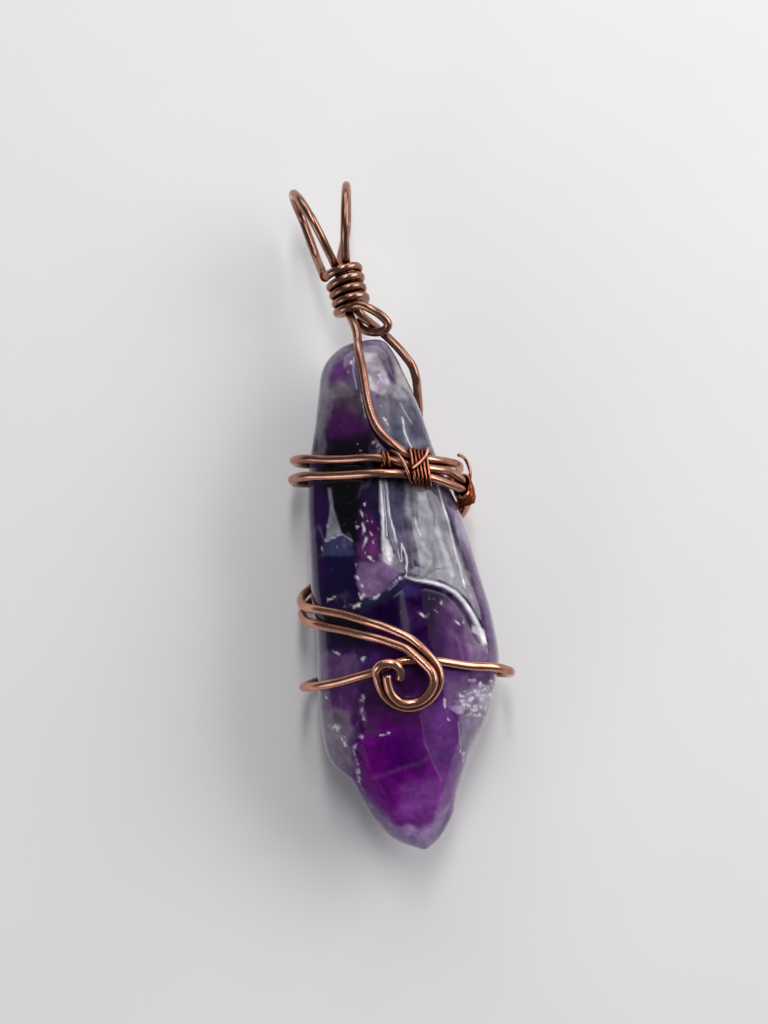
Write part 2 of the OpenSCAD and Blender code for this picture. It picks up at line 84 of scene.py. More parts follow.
LEFT, RIGHT, FRONT, BACK = 1, 2, 3, 4
SECTIONS = np.array([
    [0, 0.012, 0.012, 0.02, 0.02], [0.012, 0.1, 0.068, 0.12, 0.1], [0.03, 0.18, 0.118, 0.2, 0.16],
    [0.06, 0.25, 0.172, 0.28, 0.22], [0.1, 0.311, 0.207, 0.35, 0.29], [0.145, 0.37, 0.266, 0.42, 0.36],
    [0.17, 0.441, 0.302, 0.45, 0.39], [0.2, 0.48, 0.353, 0.48, 0.42], [0.25, 0.496, 0.434, 0.52, 0.45],
    [0.3, 0.497, 0.481, 0.55, 0.45], [0.345, 0.49, 0.516, 0.55, 0.45], [0.42, 0.478, 0.507, 0.55, 0.45],
    [0.5, 0.478, 0.469, 0.54, 0.45], [0.6, 0.464, 0.417, 0.51, 0.45], [0.68, 0.454, 0.358, 0.47, 0.45],
    [0.76, 0.42, 0.29, 0.43, 0.45], [0.84, 0.364, 0.238, 0.38, 0.42], [0.9, 0.329, 0.191, 0.33, 0.36],
    [0.95, 0.293, 0.145, 0.27, 0.29], [0.98, 0.222, 0.105, 0.2, 0.2], [0.995, 0.136, 0.068, 0.12, 0.11],
    [1, 0.02, 0.02, 0.02, 0.02]])
FACES = np.array([
    [270, 0, 0.03], [58, -3, 0.06], [124, -4, 0.065], [88, -14, 0.035], [95, 22, 0.06], [40, 34, 0.05],
    [140, 30, 0.05], [232, -4, 0.04], [308, 4, 0.045]])
DENTS = np.array([[95, 0.545, 0.15, 0.03], [112, 0.61, 0.16, 0.022], [46, 0.27, 0.15, 0.02], [70, 0.6, 0.18, 0.016]])

AXIS_X = 0.007 * STONE_WIDTH
NECK_LENGTH = NECK_TURNS * NECK_PITCH * (WIRE + PLAY)
TIP_Y = -(STONE_LENGTH + NECK_RISE + NECK_LENGTH + BAIL_LENGTH) / 2
EDGE_Z = WIRE + 1.4 * PLAY + (SECTIONS[10, BACK] - FACES[0, 2]) * STONE_DEPTH
print("Stone:", STONE_LENGTH, "x", STONE_WIDTH, "x", STONE_DEPTH, "mm, its widest line", round(EDGE_Z, 2), "mm up")

# %% Skin of the stone


def cosd(turn):
    """Cosine of a turn in degrees."""
    return np.cos(np.radians(turn))


def sind(turn):
    """Sine of a turn in degrees."""
    return np.sin(np.radians(turn))


def unit(v):
    """Vectors along the last axis, each divided by its own length."""
    return v / np.linalg.norm(v, axis=-1, keepdims=True)


def reach(col, a):
    """One column of the table at places a: cubic curves whose slope at each row points from the row before to the
    row after."""
    s, v, n = SECTIONS[:, 0], SECTIONS[:, col], len(SECTIONS)
    lo, hi = np.maximum(np.arange(n) - 1, 0), np.minimum(np.arange(n) + 1, n - 1)
    slope = (v[hi] - v[lo]) / (s[hi] - s[lo])
    i = np.clip(np.searchsorted(s, a, side="right") - 1, 0, n - 2)
    h = s[i + 1] - s[i]
    t = (a - s[i]) / h
    return ((2 * t**3 - 3 * t**2 + 1) * v[i] + (t**3 - 2 * t**2 + t) * h * slope[i]
            + (3 * t**2 - 2 * t**3) * v[i + 1] + (t**3 - t**2) * h * slope[i + 1])


def rough(turn, a):
    """Rounded box in each section: reach times the sine or cosine of the turn, raised to two over the squareness."""
    turn, a = np.broadcast_arrays(np.asarray(turn, float), np.asarray(a, float))
    c, s = cosd(turn), sind(turn)
    square = np.where(s >= 0, FRONT_SQUARENESS, BACK_SQUARENESS)
    wide = np.where(c >= 0, reach(RIGHT, a), reach(LEFT, a)) * STONE_WIDTH
    tall = np.where(s >= 0, reach(FRONT, a), reach(BACK, a)) * STONE_DEPTH
    x = AXIS_X + wide * np.sign(c) * np.abs(c) ** (2 / square)
    z = EDGE_Z + tall * np.sign(s) * np.abs(s) ** (2 / square)
    return np.stack([x, TIP_Y + a * STONE_LENGTH, z], -1)


def face_planes():
    """Each polished face: the way it looks, and how far from the origin it cuts, taken from the rough stone's
    furthest point that way less its cut."""
    a, turn = np.meshgrid(np.arange(0.02, 0.9801, 0.04), np.arange(0, 349, 12), indexing="ij")
    points = rough(turn, a).reshape(-1, 3)
    turn, lean, cut = FACES.T
    out = np.stack([cosd(turn) * cosd(lean), -sind(lean), sind(turn) * cosd(lean)], -1)
    return out, (points @ out.T).max(0) - cut * STONE_DEPTH


FACE_OUT, FACE_AT = face_planes()


def skin(turn, a):
    """The rough stone pushed back behind each face in turn. The push is the softened depth past the plane, so the
    edge between two faces comes out rounded, as tumbling leaves it."""
    p = rough(turn, a)
    for out, at in zip(FACE_OUT, FACE_AT):
        past = FACE_SOFTNESS * np.logaddexp(0, (p @ out - at) / FACE_SOFTNESS)
        p = p - past[..., None] * out
    return p


def outward(turn, a):
    """Unit vector straight out of the skin: the cross product of a small step along it, 2h of its length, and a
    small step round it, 2e degrees."""
    e, h = 0.6, 0.002
    turn, a = np.asarray(turn, float), np.asarray(a, float)
    return unit(np.cross(skin(turn, a + h) - skin(turn, a - h), skin(turn + e, a) - skin(turn - e, a)))


print("Top of the stone's skin at mid length:", skin(90, 0.5).round(2), "mm")

# %% [markdown]
# ## The routes of the wires
#
# The real wires were bent by hand round the stone, so their routes are told the same way: rows of turn, place
# along the stone and clear air under the wire, joined by smooth curves. Free stretches, such as the bail, are
# points in space. The solids were drawn from the same rows, so the dressed wires lie exactly where they lie.
#
# Tables of air and rise go by the turn, tables of the inner wire by its share of the outer one's length, and tables
# of the coil by its turns.

# %% Curves through rows
STEP, SWIRL_STEP, COIL_STEP, FINE_STEP = 1.1, 0.95, 0.8, 0.55


def over(rows):
    """A wire's centre for rows of turn, place along and air: the skin plus the way out times half a wire, the play
    and the air."""
    rows = np.asarray(rows, float)
    turn, a, air = rows[..., 0], rows[..., 1], rows[..., 2]
    lift = WIRE / 2 + PLAY + np.maximum(air, 0) * (WIRE + PLAY)
    return skin(turn, a) + lift[..., None] * outward(turn, a)


def through(rows, stops):
    """Catmull-Rom curve through rows, with a number of stops in each stretch."""
    rows = np.asarray(rows, float)
    parts = []
    for i in range(len(rows) - 1):
        a, b, c, d = rows[max(i - 1, 0)], rows[i], rows[i + 1], rows[min(i + 2, len(rows) - 1)]
        t = (np.arange(stops[i]) / stops[i])[:, None]
        parts.append(0.5 * (2 * b + (c - a) * t + (2 * a - 5 * b + 4 * c - d) * t**2 + (3 * b - a - 3 * c + d) * t**3))
    return np.vstack(parts + [rows[-1:]])


def stops_for(points, step):
    """How many stops each stretch gets: its length over the step, at least one."""
    gaps = np.linalg.norm(np.diff(np.asarray(points, float), axis=0), axis=1)
    return np.maximum(1, np.floor(gaps / step + 0.5)).astype(int)


def laid(rows, step=STEP):
    """A route over the skin."""
    return over(through(rows, stops_for(over(rows), step)))


def bent(points, step=STEP):
    """A route through free points."""
    return through(points, stops_for(points, step))


def heading(path):
    """Unit direction at each point, from the one before to the one after."""
    path = np.asarray(path)
    lo, hi = np.maximum(np.arange(len(path)) - 1, 0), np.minimum(np.arange(len(path)) + 1, len(path) - 1)
    return unit(path[hi] - path[lo])


def level(v, h):
    """The part of v at right angles to h, as a unit vector."""
    return unit(v - np.sum(v * h, -1, keepdims=True) * h)


def led_in(points, path):
    """A route that starts through free points and goes on over the skin."""
    lead = bent(np.vstack([points, path[:2]]))
    keep = np.linalg.norm(lead[:-1] - path[1], axis=1) > np.linalg.norm(path[0] - path[1]) * 1.02
    return np.vstack([lead[:-1][keep], path])


def up_to(path, follower):
    """A route that runs on to meet another one's start, end to end."""
    ahead = unit(follower[1] - follower[0])
    return np.vstack([path, follower[0] - 0.5 * ahead, follower[0] - PLAY * ahead])


# %% Bands, swirl and cross wire
TIGHT = 1.05 * (WIRE + PLAY)
BAND_AIR = np.array([
    [0, 1.3], [16, 1.2], [32, 0.8], [50, 0.5], [75, 0.5], [92, 0.5], [102, 0.15], [112, 0], [125, 0], [142, 0.35],
    [160, 1], [180, 1.15], [205, 0.9], [232, 0.2], [250, 0], [285, 0], [312, 0.4], [340, 1.1], [360, 1.3]])
WRAP_RAISE = np.array([[-180, 0], [-150, 0.5 * BAND_SPREAD], [-110, 0.65 * BAND_SPREAD], [0, 2 * TIGHT],
                       [90, 2 * TIGHT]])
SIDE_RAISE = np.array([[-284, TIGHT], [-267, 0.97 * BAND_SPREAD], [-225, BAND_SPREAD], [-180, 1.2 * BAND_SPREAD],
                       [-150, 1.7 * BAND_SPREAD], [-120, 1.85 * BAND_SPREAD], [-88, 2.2 * BAND_SPREAD],
                       [-68, 2.9 * BAND_SPREAD]])
SWIRL_RUN = [
    [17, 0.68, 1], [6, 0.672, 0.85], [-6, 0.667, 0.7], [-20, 0.662, 0.45], [-38, 0.652, 0.2], [-60, 0.633, 0],
    [-85, 0.606, 0], [-110, 0.578, 0], [-135, 0.552, 0.1], [-155, 0.529, 0.4], [-168, 0.513, 0.6],
    [-180, 0.497, 0.65], [-192, 0.48, 0.4], [-213, 0.463, 0.2], [-232, 0.448, 0.2], [-246, 0.432, 0.3],
    [-258, 0.416, 0.45], [-267, 0.399, 0.6], [-274, 0.378, 0.85]]
SWIRL_AIR = np.array([
    [-180, 1.1], [-160, 0.6], [-135, 0.1], [-110, 0], [-70, 0], [-45, 0.25], [-25, 0.6], [-5, 1], [45, 1.05]])
HOOK_AIR = np.array([[-30, 1], [0, 1.35], [20, 1.75], [45, 2.05], [90, 2.1], [135, 2.1], [180, 1.3]])
HOOK_RISE = 0.5
SWIRL_Y = TIP_Y + SWIRL_ALONG * STONE_LENGTH
INNER_GAP = np.array([
    [0, 1], [0.3, 1.05], [0.5, 1.35], [0.62, 1.6], [0.72, 1.3], [0.79, 1.05], [0.84, 1], [0.885, 0.6], [0.91, 0.35],
    [0.945, 0.35], [0.97, 0.85], [1, 1.1]])
INNER_RISE = np.array([
    [0, 0], [0.06, 0.14], [0.17, 0.24], [0.24, 0.04], [0.3, -0.16], [0.34, -0.14], [0.4, 0], [0.77, 0], [0.82, 0.2],
    [0.885, 0.8], [0.91, 0.92], [0.945, 0.92], [0.97, 0.65], [1, 0.15]])
INNER_STOP = 0.87
CROSS_RUN = [
    [262, 0.36, 0], [235, 0.358, 0.15], [205, 0.343, 0.75], [180, 0.329, 1], [165, 0.324, 0.85], [152, 0.322, 0.35],
    [134, 0.324, 0.05], [121, 0.328, 0], [110, 0.331, 0], [102, 0.338, 0], [93, 0.346, 0], [84, 0.344, 0],
    [71, 0.338, 0], [60, 0.332, 0], [46, 0.326, 0.25], [32, 0.324, 0.7], [18, 0.323, 0.9], [0, 0.324, 0.8],
    [-30, 0.33, 0.45], [-60, 0.344, 0.05], [-94, 0.36, 0]]


def looked_up(x, table):
    """The second column of a table at places x of the first, joined by straight lines."""
    return np.interp(x, table[:, 0], table[:, 1])


def band_row(turn, rise):
    """A row of a band: its height is the lower band's plus a rise, less the tilt times the turn's cosine."""
    turn = np.asarray(turn, float)
    along = BAND_ALONG + (rise - BAND_TILT * cosd(turn)) / STONE_LENGTH
    return np.stack([turn, along, looked_up(turn % 360, BAND_AIR)], -1)


def plan_row(x, y, air):
    """A row of the front of the stone from a place in its plan."""
    a = (y - TIP_Y) / STONE_LENGTH
    half = reach(LEFT if x < 0 else RIGHT, a) * STONE_WIDTH
    turn = np.degrees(np.arccos(min(abs(x) / half, 1) ** (FRONT_SQUARENESS / 2)))
    return [(180 - turn if x < 0 else turn) - 360, a, air]


def outer_path():
    """Over the back and the left edge, then the ring of the swirl, then its small hook."""
    ring = [plan_row(SWIRL_RADIUS * cosd(t), SWIRL_Y + SWIRL_RADIUS * sind(t), looked_up(t, SWIRL_AIR))
            for t in range(35, -166, -25)]
    hook = [plan_row(HOOK_RADIUS - SWIRL_RADIUS + HOOK_RADIUS * cosd(t), SWIRL_Y + HOOK_RISE + HOOK_RADIUS * sind(t),
                     looked_up(t, HOOK_AIR)) for t in range(180, -31, -30)]
    return laid(SWIRL_RUN + ring + hook, SWIRL_STEP)


def inner_path():
    """The outer wire's route moved sideways by a gap and outwards by a rise, both counted in wires."""
    path = outer_path()
    last = int(len(path) * INNER_STOP)
    h = heading(path)[:last + 1]
    path = path[:last + 1]
    centre = np.stack([np.full(last + 1, AXIS_X), path[:, 1], np.full(last + 1, EDGE_Z)], -1)
    up = level(path - centre, h)
    share = np.arange(last + 1) / last
    side = looked_up(share, INNER_GAP)[:, None] * np.cross(h, up)
    return path + (WIRE + PLAY) * (side + looked_up(share, INNER_RISE)[:, None] * up)


# %% Neck and bail
NECK_FOOT = np.array([AXIS_X - NECK_OFFSET, TIP_Y + STONE_LENGTH + NECK_RISE, EDGE_Z + WIRE / 2])
NECK_TOP = NECK_FOOT + NECK_LENGTH * np.array([-np.tan(np.radians(NECK_LEAN)), 1, 0])
CORE_R = (WIRE + PLAY / 2) / np.sqrt(3)
COIL_R = CORE_R + WIRE + PLAY
COIL_EXTRA = np.array([[0, 0.3], [0.8, 0.07], [1.4, 0.14], [2.2, 0], [3.2, 0.02], [3.9, 0.16], [4.25, 0.08]])
COIL_SLOPE = np.array([[0, 0.6], [1, 0.75], [2, 0.62], [3, 0.5], [4.25, 0.4]])
COIL_TURN = 0.0833
LEFT_LEG, RIGHT_LEG, REAR_LEG, LEG_END = 150, 30, 270, 0.5
LOOP_R = (BAIL_DEPTH - WIRE) / 2
LOOP_REACH = BAIL_LENGTH - WIRE / 2
LEFT_SET, RIGHT_SET, LEFT_SHORT = -0.55, 0.25, 0.3
LEFT_BEND = [[-2.25, 2.2, -2.4], [-2.03, 1.1, -1.45], [-1.8, 0.15, -0.5]]
REAR_BEND = [[0.15, 2.5, -2.5], [-0.05, 1.2, -1.45]]
EYE = [
    [0.6, 0, 1.7], [1.3, -0.4, 1.95], [2.1, -0.95, 1.95], [2.8, -1.6, 1.75], [3.05, -2.1, 1.5], [2.7, -2.5, 1.2],
    [2, -2.55, 0.92], [1.35, -2.35, 0.55], [0.78, -1.95, 0], [0.48, -1.4, -0.6], [0.5, -0.8, -0.9]]
CROWN_LEAD = [[-0.33, -0.65, 0.6], [-0.14, -1.35, 1.1], [0.06, -2.2, 1.6]]
FRONT_RUN = [
    [109, 0.986, 0.1], [102, 0.945, 0], [99.5, 0.9, 0], [98, 0.858, 0], [94.5, 0.816, 0], [89.5, 0.782, 0.15],
    [81, 0.757, 0.4]]
SHOULDER_LEAD = [
    [0.7, -0.6, 0.1], [1.35, -1.25, 0.1], [2.2, -2.15, 0.1], [3.05, -3.1, 0.15], [3.9, -4.2, 0.15], [4.5, -5.2, 0.1]]
EDGE_RUN = [[5, 0.932, 0.57], [0, 0.908, 0.4], [-11, 0.885, 0.12], [-25, 0.862, 0], [-44, 0.83, 0]]


def neck_at(share):
    """A point of the neck's middle line, from its foot (0) to its top (1)."""
    return NECK_FOOT + share * (NECK_TOP - NECK_FOOT)


def leg_at(turn, share):
    """A point of one of the three legs that stand side by side in the neck."""
    return neck_at(share) + CORE_R * np.array([cosd(turn), 0, sind(turn)])


def coil_at(turns):
    """A helix down the neck: the turn runs backwards from the left, and each turn slopes a little."""
    turn, r = 180 - 360 * turns, COIL_R + WIRE * looked_up(turns, COIL_EXTRA)
    rise = WIRE * looked_up(turns, COIL_SLOPE)
    return neck_at(1 - turns / NECK_TURNS) + np.array([r * cosd(turn), rise * cosd(turn), r * sind(turn)])


def loop_at(turn, loop_reach, lean, aside):
    """A point of a loop: a circle seen from the side, in a plane that leans from the neck."""
    along = loop_reach - LOOP_R + LOOP_R * cosd(turn)
    return NECK_TOP + [aside - along * np.tan(np.radians(lean)), along, LOOP_R * sind(turn)]


def loop_points(leg, last, loop_reach, lean, aside):
    """Up inside the neck along a leg, then over the loop's circle as far as its last turn."""
    arc = [loop_at(t, loop_reach, lean, aside) for t in range(140, last - 1, -28)]
    return [leg_at(leg, LEG_END), leg_at(leg, 0.75), leg_at(leg, 1)] + arc


def left_loop_path():
    """Its back leg bends aside and meets the start of the coil."""
    ahead = unit(coil_at(COIL_TURN) - coil_at(0))
    loop = loop_points(LEFT_LEG, -56, LOOP_REACH - LEFT_SHORT, LEFT_LEAN, LEFT_SET)
    return bent(loop + [NECK_TOP + p for p in LEFT_BEND] + [coil_at(0) - back * ahead for back in (0.4, PLAY)])


def right_loop_path():
    """Its back leg goes down into the neck again."""
    loop = loop_points(RIGHT_LEG, -84, LOOP_REACH, -RIGHT_LEAN, RIGHT_SET)
    return bent(loop + [NECK_TOP + p for p in REAR_BEND] + [leg_at(REAR_LEG, share) for share in (1, 0.75, LEG_END)])


def neck_coil_path():
    """The helix, then the small eye below it."""
    turns = np.arange(0, NECK_TURNS + 1e-6, COIL_TURN)
    return bent([coil_at(t) for t in turns] + [NECK_FOOT + p for p in EYE], COIL_STEP)


def cage_path(leg, bends, run, turns, raised, follower):
    """Out of the neck along a leg, through free bends and a run over the skin, then round the stone as a band that
    meets the wire that goes on."""
    lead = [leg_at(leg, share) for share in (LEG_END - 0.02, 0.25, 0)] + [NECK_FOOT + p for p in bends]
    rows = np.vstack([run, band_row(turns, looked_up(turns, raised))])
    return led_in(lead, up_to(laid(rows), follower))


def wrap_wire_path():
    """Down the front of the crown and once round."""
    return cage_path(LEFT_LEG, CROWN_LEAD, FRONT_RUN, np.arange(70, -311, -20), WRAP_RAISE, inner_path())


def side_wire_path():
    """Over the right shoulder, across the back and out in front again."""
    return cage_path(RIGHT_LEG, SHOULDER_LEAD, EDGE_RUN, np.arange(-68, -329, -20), SIDE_RAISE, outer_path())


# %% [markdown]
# A binding goes round two wires like a belt. Each wrap has twelve places: which of the two wires it is at (1, 0 in
# the middle, or -1) and the turn round it. Its last end is pressed down over the wraps.

# %% Bindings of fine wire
WRAP = np.array([
    [1, -90], [1, -45], [1, 0], [1, 45], [1, 90], [0, 90], [-1, 90], [-1, 135], [-1, 180], [-1, 225], [-1, 270],
    [0, 270]])
WRAP_SLACK = 1.16
WRAP_R = WRAP_SLACK * (WIRE / 2 + PLAY + FINE / 2)
FINE_PITCH = FINE + PLAY / 2
BINDING_X, KNOT_X, KNOT_WRAPS, KNOT_SIDES = 2.1, -0.3, 2.5, 8
STRAND = [[85, 0.742, 0.9], [81, 0.733, 1.4], [78, 0.716, 1.45], [76.5, 0.7, 1.35]]
LAST_STRAND = [[0, -0.35], [0.12, 0], [0.5, 0.45], [0.9, 0.85]]
SIDE_STRAND = [[23, 0.727, 1.9], [17, 0.7235, 2.15], [12.5, 0.712, 2.2], [11.5, 0.697, 2.1]]
SIDE_START = 0.35


def crossings(path, x):
    """Where a route crosses the front of the stone at a distance right of the axis."""
    a, b = path[:-1], path[1:]
    share = (AXIS_X + x - a[:, 0]) / (b[:, 0] - a[:, 0])
    hit = (share >= 0) & (share < 1) & (np.minimum(a[:, 2], b[:, 2]) > EDGE_Z + 1)
    return (a + share[:, None] * (b - a))[hit]


def wrap_point(a, b, up, j):
    """One of the twelve places of a wrap that goes round two wires at a and b."""
    which, turn = WRAP[j % len(WRAP)]
    side = unit(b - a)
    above = level(np.asarray(up, float), side)
    return (a + b) / 2 + which * (b - a) / 2 + WRAP_R * (cosd(turn) * side + sind(turn) * above)


def front_binding_path():
    """A few turns round the upper band, a strand across, wraps round all three wires, and a last strand over them."""
    band, wrap = side_wire_path(), wrap_wire_path()
    knot = []
    for j in range(int(KNOT_SIDES * KNOT_WRAPS) + 1):
        x, turn = KNOT_X + FINE_PITCH * j / KNOT_SIDES, 180 + 360 * j / KNOT_SIDES
        p, ahead = crossings(band, x)[-1], crossings(band, x + PLAY)[-1]
        side = level(np.array([0.0, 1, 0]), ahead - p)
        knot.append(p + WRAP_R * (cosd(turn) * side + [0, 0, sind(turn)]))
    wraps = []
    for j in range(int(len(WRAP) * (FRONT_WRAPS + 0.5))):
        hits = crossings(wrap, BINDING_X + FINE_PITCH * j / len(WRAP))
        wraps.append(wrap_point(hits[0], hits[-1], [0, 0, 1], 2 - j))
    for left, down in LAST_STRAND:
        hits = crossings(wrap, BINDING_X + FINE_PITCH * (FRONT_WRAPS + 0.4) * (1 - left))
        a, b = hits[0], hits[-1]
        wraps.append(a + down * (b - a) + (WRAP_R + 1.1 * FINE_PITCH) * level(np.array([0.0, 0, 1]), unit(b - a)))
    return bent(np.vstack([knot, over(STRAND), wraps]), FINE_STEP)


def gaps_along(path):
    """Length of each stretch of a route."""
    return np.linalg.norm(np.diff(path, axis=0), axis=1)


def point_at(path, s):
    """Point a length along a route from its start, or before it."""
    runs = gaps_along(path)
    i = 0
    while s > runs[i] and i < len(path) - 2:
        s, i = s - runs[i], i + 1
    return path[i] + s * unit(path[i + 1] - path[i])


def side_binding_path():
    """A strand over the end of the upper wire, then wraps round the two wires of the swirl."""
    outer, inner = outer_path(), inner_path()
    wraps = []
    for j in range(len(WRAP) * SIDE_WRAPS + 1):
        s = FINE_PITCH * j / len(WRAP) - SIDE_START
        a, b = point_at(outer, s), point_at(inner, s)
        wraps.append(wrap_point(a, b, (a + b) / 2 - [AXIS_X, a[1], EDGE_Z], 3 - j))
    return bent(np.vstack([over(SIDE_STRAND), wraps]), FINE_STEP)


ROUTES = {
    "left_loop": left_loop_path(), "right_loop": right_loop_path(), "neck_coil": neck_coil_path(),
    "wrap_wire": wrap_wire_path(), "side_wire": side_wire_path(), "outer_swirl": outer_path(),
    "inner_swirl": inner_path(), "cross_wire": laid(CROSS_RUN), "front_binding": front_binding_path(),
    "side_binding": side_binding_path()}

# %% [markdown]
# A route is only right if the solid drawn along it agrees. The next cell measures how far the corners of each solid
# lie from the route. Half a wire, 0.40 mm, is right for the main wires, and 0.15 mm for the fine ones.

# %% Compare the routes with the solids


def node_points(name):
    """Corners of a solid in millimetres."""
    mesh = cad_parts[name].data
    co = np.empty(len(mesh.vertices) * 3)
    mesh.vertices.foreach_get("co", co)
    return co.reshape(-1, 3) / MM


for name, path in ROUTES.items():
    corners = node_points(name)
    a, b = path[:-1], path[1:]
    t = np.einsum("nsk,sk->ns", corners[:, None] - a, b - a) / np.sum((b - a) ** 2, 1)
    near = a + np.clip(t, 0, 1)[..., None] * (b - a)
    far = np.linalg.norm(corners[:, None] - near, axis=2).min(1)
    print(f"{name}: corners lie {far.min():.2f} to {far.max():.2f} mm from the route")

# %% [markdown]
# ## Noise to break up what is too perfect
#
# Nothing about the real pendant is even: the stone is cloudy and the wire carries marks of the pliers. Blender has
# noise textures, but noise worked out here can also move the mesh, so bumps and colours agree with each other.

# %% Value noise and soft shapes
NOISE_CUBE, OCTAVE_SHIFT, NOISE_GAIN = 32, 7.3, 1.6


def noise(points, cell, seed, octaves=3):
    """Smooth random field, mostly from -1 to 1. Random numbers sit at the corners of cubes of a size, and each point
    takes the smoothed mean of its cube's eight corners. Each further octave halves the cube and the strength."""
    values = np.random.default_rng(seed).uniform(-1, 1, (NOISE_CUBE,) * 3)
    total, weight = np.zeros(points.shape[:-1]), 0.0
    for k in range(octaves):
        p = points / (cell / 2**k) + OCTAVE_SHIFT * k
        base = np.floor(p).astype(int)
        f = p - base
        f = f * f * (3 - 2 * f)
        out = 0
        for corner in np.ndindex(2, 2, 2):
            w = np.prod(np.where(np.array(corner) == 1, f, 1 - f), axis=-1)
            i = (base + corner) % NOISE_CUBE
            out = out + w * values[i[..., 0], i[..., 1], i[..., 2]]
        total += out / 2**k
        weight += 1 / 2**k
    return total / weight * NOISE_GAIN


def ease(lo, hi, v):
    """0 below lo, 1 above hi and a smooth rise between them."""
    t = np.clip((v - lo) / (hi - lo), 0, 1)
    return t * t * (3 - 2 * t)


def side_of(xy, line):
    """Distance to the nearest stretch of a broken line, counted positive on the right hand of someone who walks
    along it."""
    line = np.asarray(line, float)
    best, sign = np.full(xy.shape[:-1], 1e9), np.ones(xy.shape[:-1])
    for a, b in zip(line[:-1], line[1:]):
        t = np.clip(((xy - a) @ (b - a)) / ((b - a) @ (b - a)), 0, 1)
        away = np.linalg.norm(xy - a - t[..., None] * (b - a), axis=-1)
        right = (b[1] - a[1]) * (xy[..., 0] - a[0]) - (b[0] - a[0]) * (xy[..., 1] - a[1])
        sign = np.where(away < best, np.where(right > 0, 1.0, -1.0), sign)
        best = np.minimum(best, away)
    return best * sign


def near_line(xy, line, width):
    """1 on a broken line and 0 from a width away."""
    return 1 - ease(0, width, np.abs(side_of(xy, line)))


def inside(xy, corners, soft):
    """1 well inside a patch with corners and 0 well outside it. The border is the distance to the nearest side. A
    point is inside if a line drawn from it to the right crosses an odd number of sides."""
    corners = np.asarray(corners, float)
    best, odd = np.full(xy.shape[:-1], 1e9), np.zeros(xy.shape[:-1], bool)
    for a, b in zip(corners, np.roll(corners, -1, axis=0)):
        best = np.minimum(best, np.abs(side_of(xy, [a, b])))
        between = (a[1] > xy[..., 1]) != (b[1] > xy[..., 1])
        slope = (b[0] - a[0]) / (b[1] - a[1]) if b[1] != a[1] else 0.0
        odd ^= between & (xy[..., 0] < a[0] + slope * (xy[..., 1] - a[1]))
    return ease(-soft, soft, np.where(odd, best, -best))


# %% [markdown]
# ## The amethyst
#
# The stone's mesh is the skin function on a fine grid, with more points on the front, where the marks are. Tumbling
# leaves a polish, soft hollows, a few chips along the ridges and hairline cracks, so the grid is pushed in and out
# along its normals by small amounts.
#
# Its colour comes from inside: a near-black violet core, a magenta lower half, smoky and milky veils, and thin
# edges that the light gets through. Glass with coloured fog inside would be the physical way, but it is slow, noisy
# and lost in an export. The colours are painted on the skin instead, and a clear coat gives the depth of the polish.

# %% Mesh of the stone
RINGS, SIDES, FRONT_CROWDING, END_CROWDING = 380, 250, 0.45, 0.35


def grid_faces(rings, sides):
    """Quads between neighbouring rings of a closed tube, wound so that they face outwards."""
    i, k = np.meshgrid(np.arange(rings - 1), np.arange(sides), indexing="ij")
    a, b = i * sides + k, i * sides + (k + 1) % sides
    return np.stack([a, b, b + sides, a + sides], -1).reshape(-1, 4)


def make_mesh(name, points, quads, caps=()):
    """A mesh object at the origin from points in millimetres, quads and end caps."""
    mesh = bpy.data.meshes.new(name)
    mesh.from_pydata((points * MM).tolist(), [], quads.tolist() + [list(map(int, c)) for c in caps])
    mesh.validate()
    mesh.polygons.foreach_set("use_smooth", np.ones(len(mesh.polygons), bool))
    mesh.update()
    piece = bpy.data.objects.new(name, mesh)
    bpy.context.scene.collection.objects.link(piece)
    return piece


def paint(piece, name, values):
    """Stores a number or a colour for each point of a mesh."""
    values = np.asarray(values, float)
    if values.ndim == 1:
        piece.data.attributes.new(name, "FLOAT", "POINT").data.foreach_set("value", values)
    else:
        rgba = np.ones((len(values), 4))
        rgba[:, :3] = values
        piece.data.attributes.new(name, "FLOAT_COLOR", "POINT").data.foreach_set("color", rgba.ravel())


stations = 0.5 - 0.5 * np.cos(np.pi * np.arange(RINGS) / (RINGS - 1))
stations = np.clip(END_CROWDING * stations + (1 - END_CROWDING) * np.linspace(0, 1, RINGS), 0, 1)
spread = 2 * np.pi * np.arange(SIDES) / SIDES
A, TURN = np.meshgrid(stations, 90 + np.degrees(spread - FRONT_CROWDING * np.sin(spread)), indexing="ij")
stone_points = skin(TURN, A)
centre = np.stack([np.full(A.shape, AXIS_X), stone_points[..., 1], np.full(A.shape, EDGE_Z)], -1)
stone_out = unit(stone_points - centre + 1e-9)
for turn, a, radius, depth in DENTS:
    away = np.linalg.norm(stone_points - skin(turn, a), axis=-1) / (radius * STONE_DEPTH)
    stone_points = stone_points - stone_out * (STONE_DEPTH * depth * np.exp(-away**2))[..., None]
print("Stone mesh:", RINGS, "rings of", SIDES, "points")

# %% [markdown]
# ## Marks of breaking and tumbling
#
# The marks on the front are placed in plan: millimetres right of the middle, and millimetres towards the crown.
#
# The largest is an old break. Its lip sweeps across the stone like a lying S, and below it the stone is scooped
# out. A smaller hollow lies left of the lip. Long shallow folds run down the right face, two ridges stand beside
# each other in the middle, and the lower part is split by a vein with rough chips on both sides of it.

# %% Marks that can be felt
xy = stone_points[..., :2]
across, along = xy[..., 0], xy[..., 1]

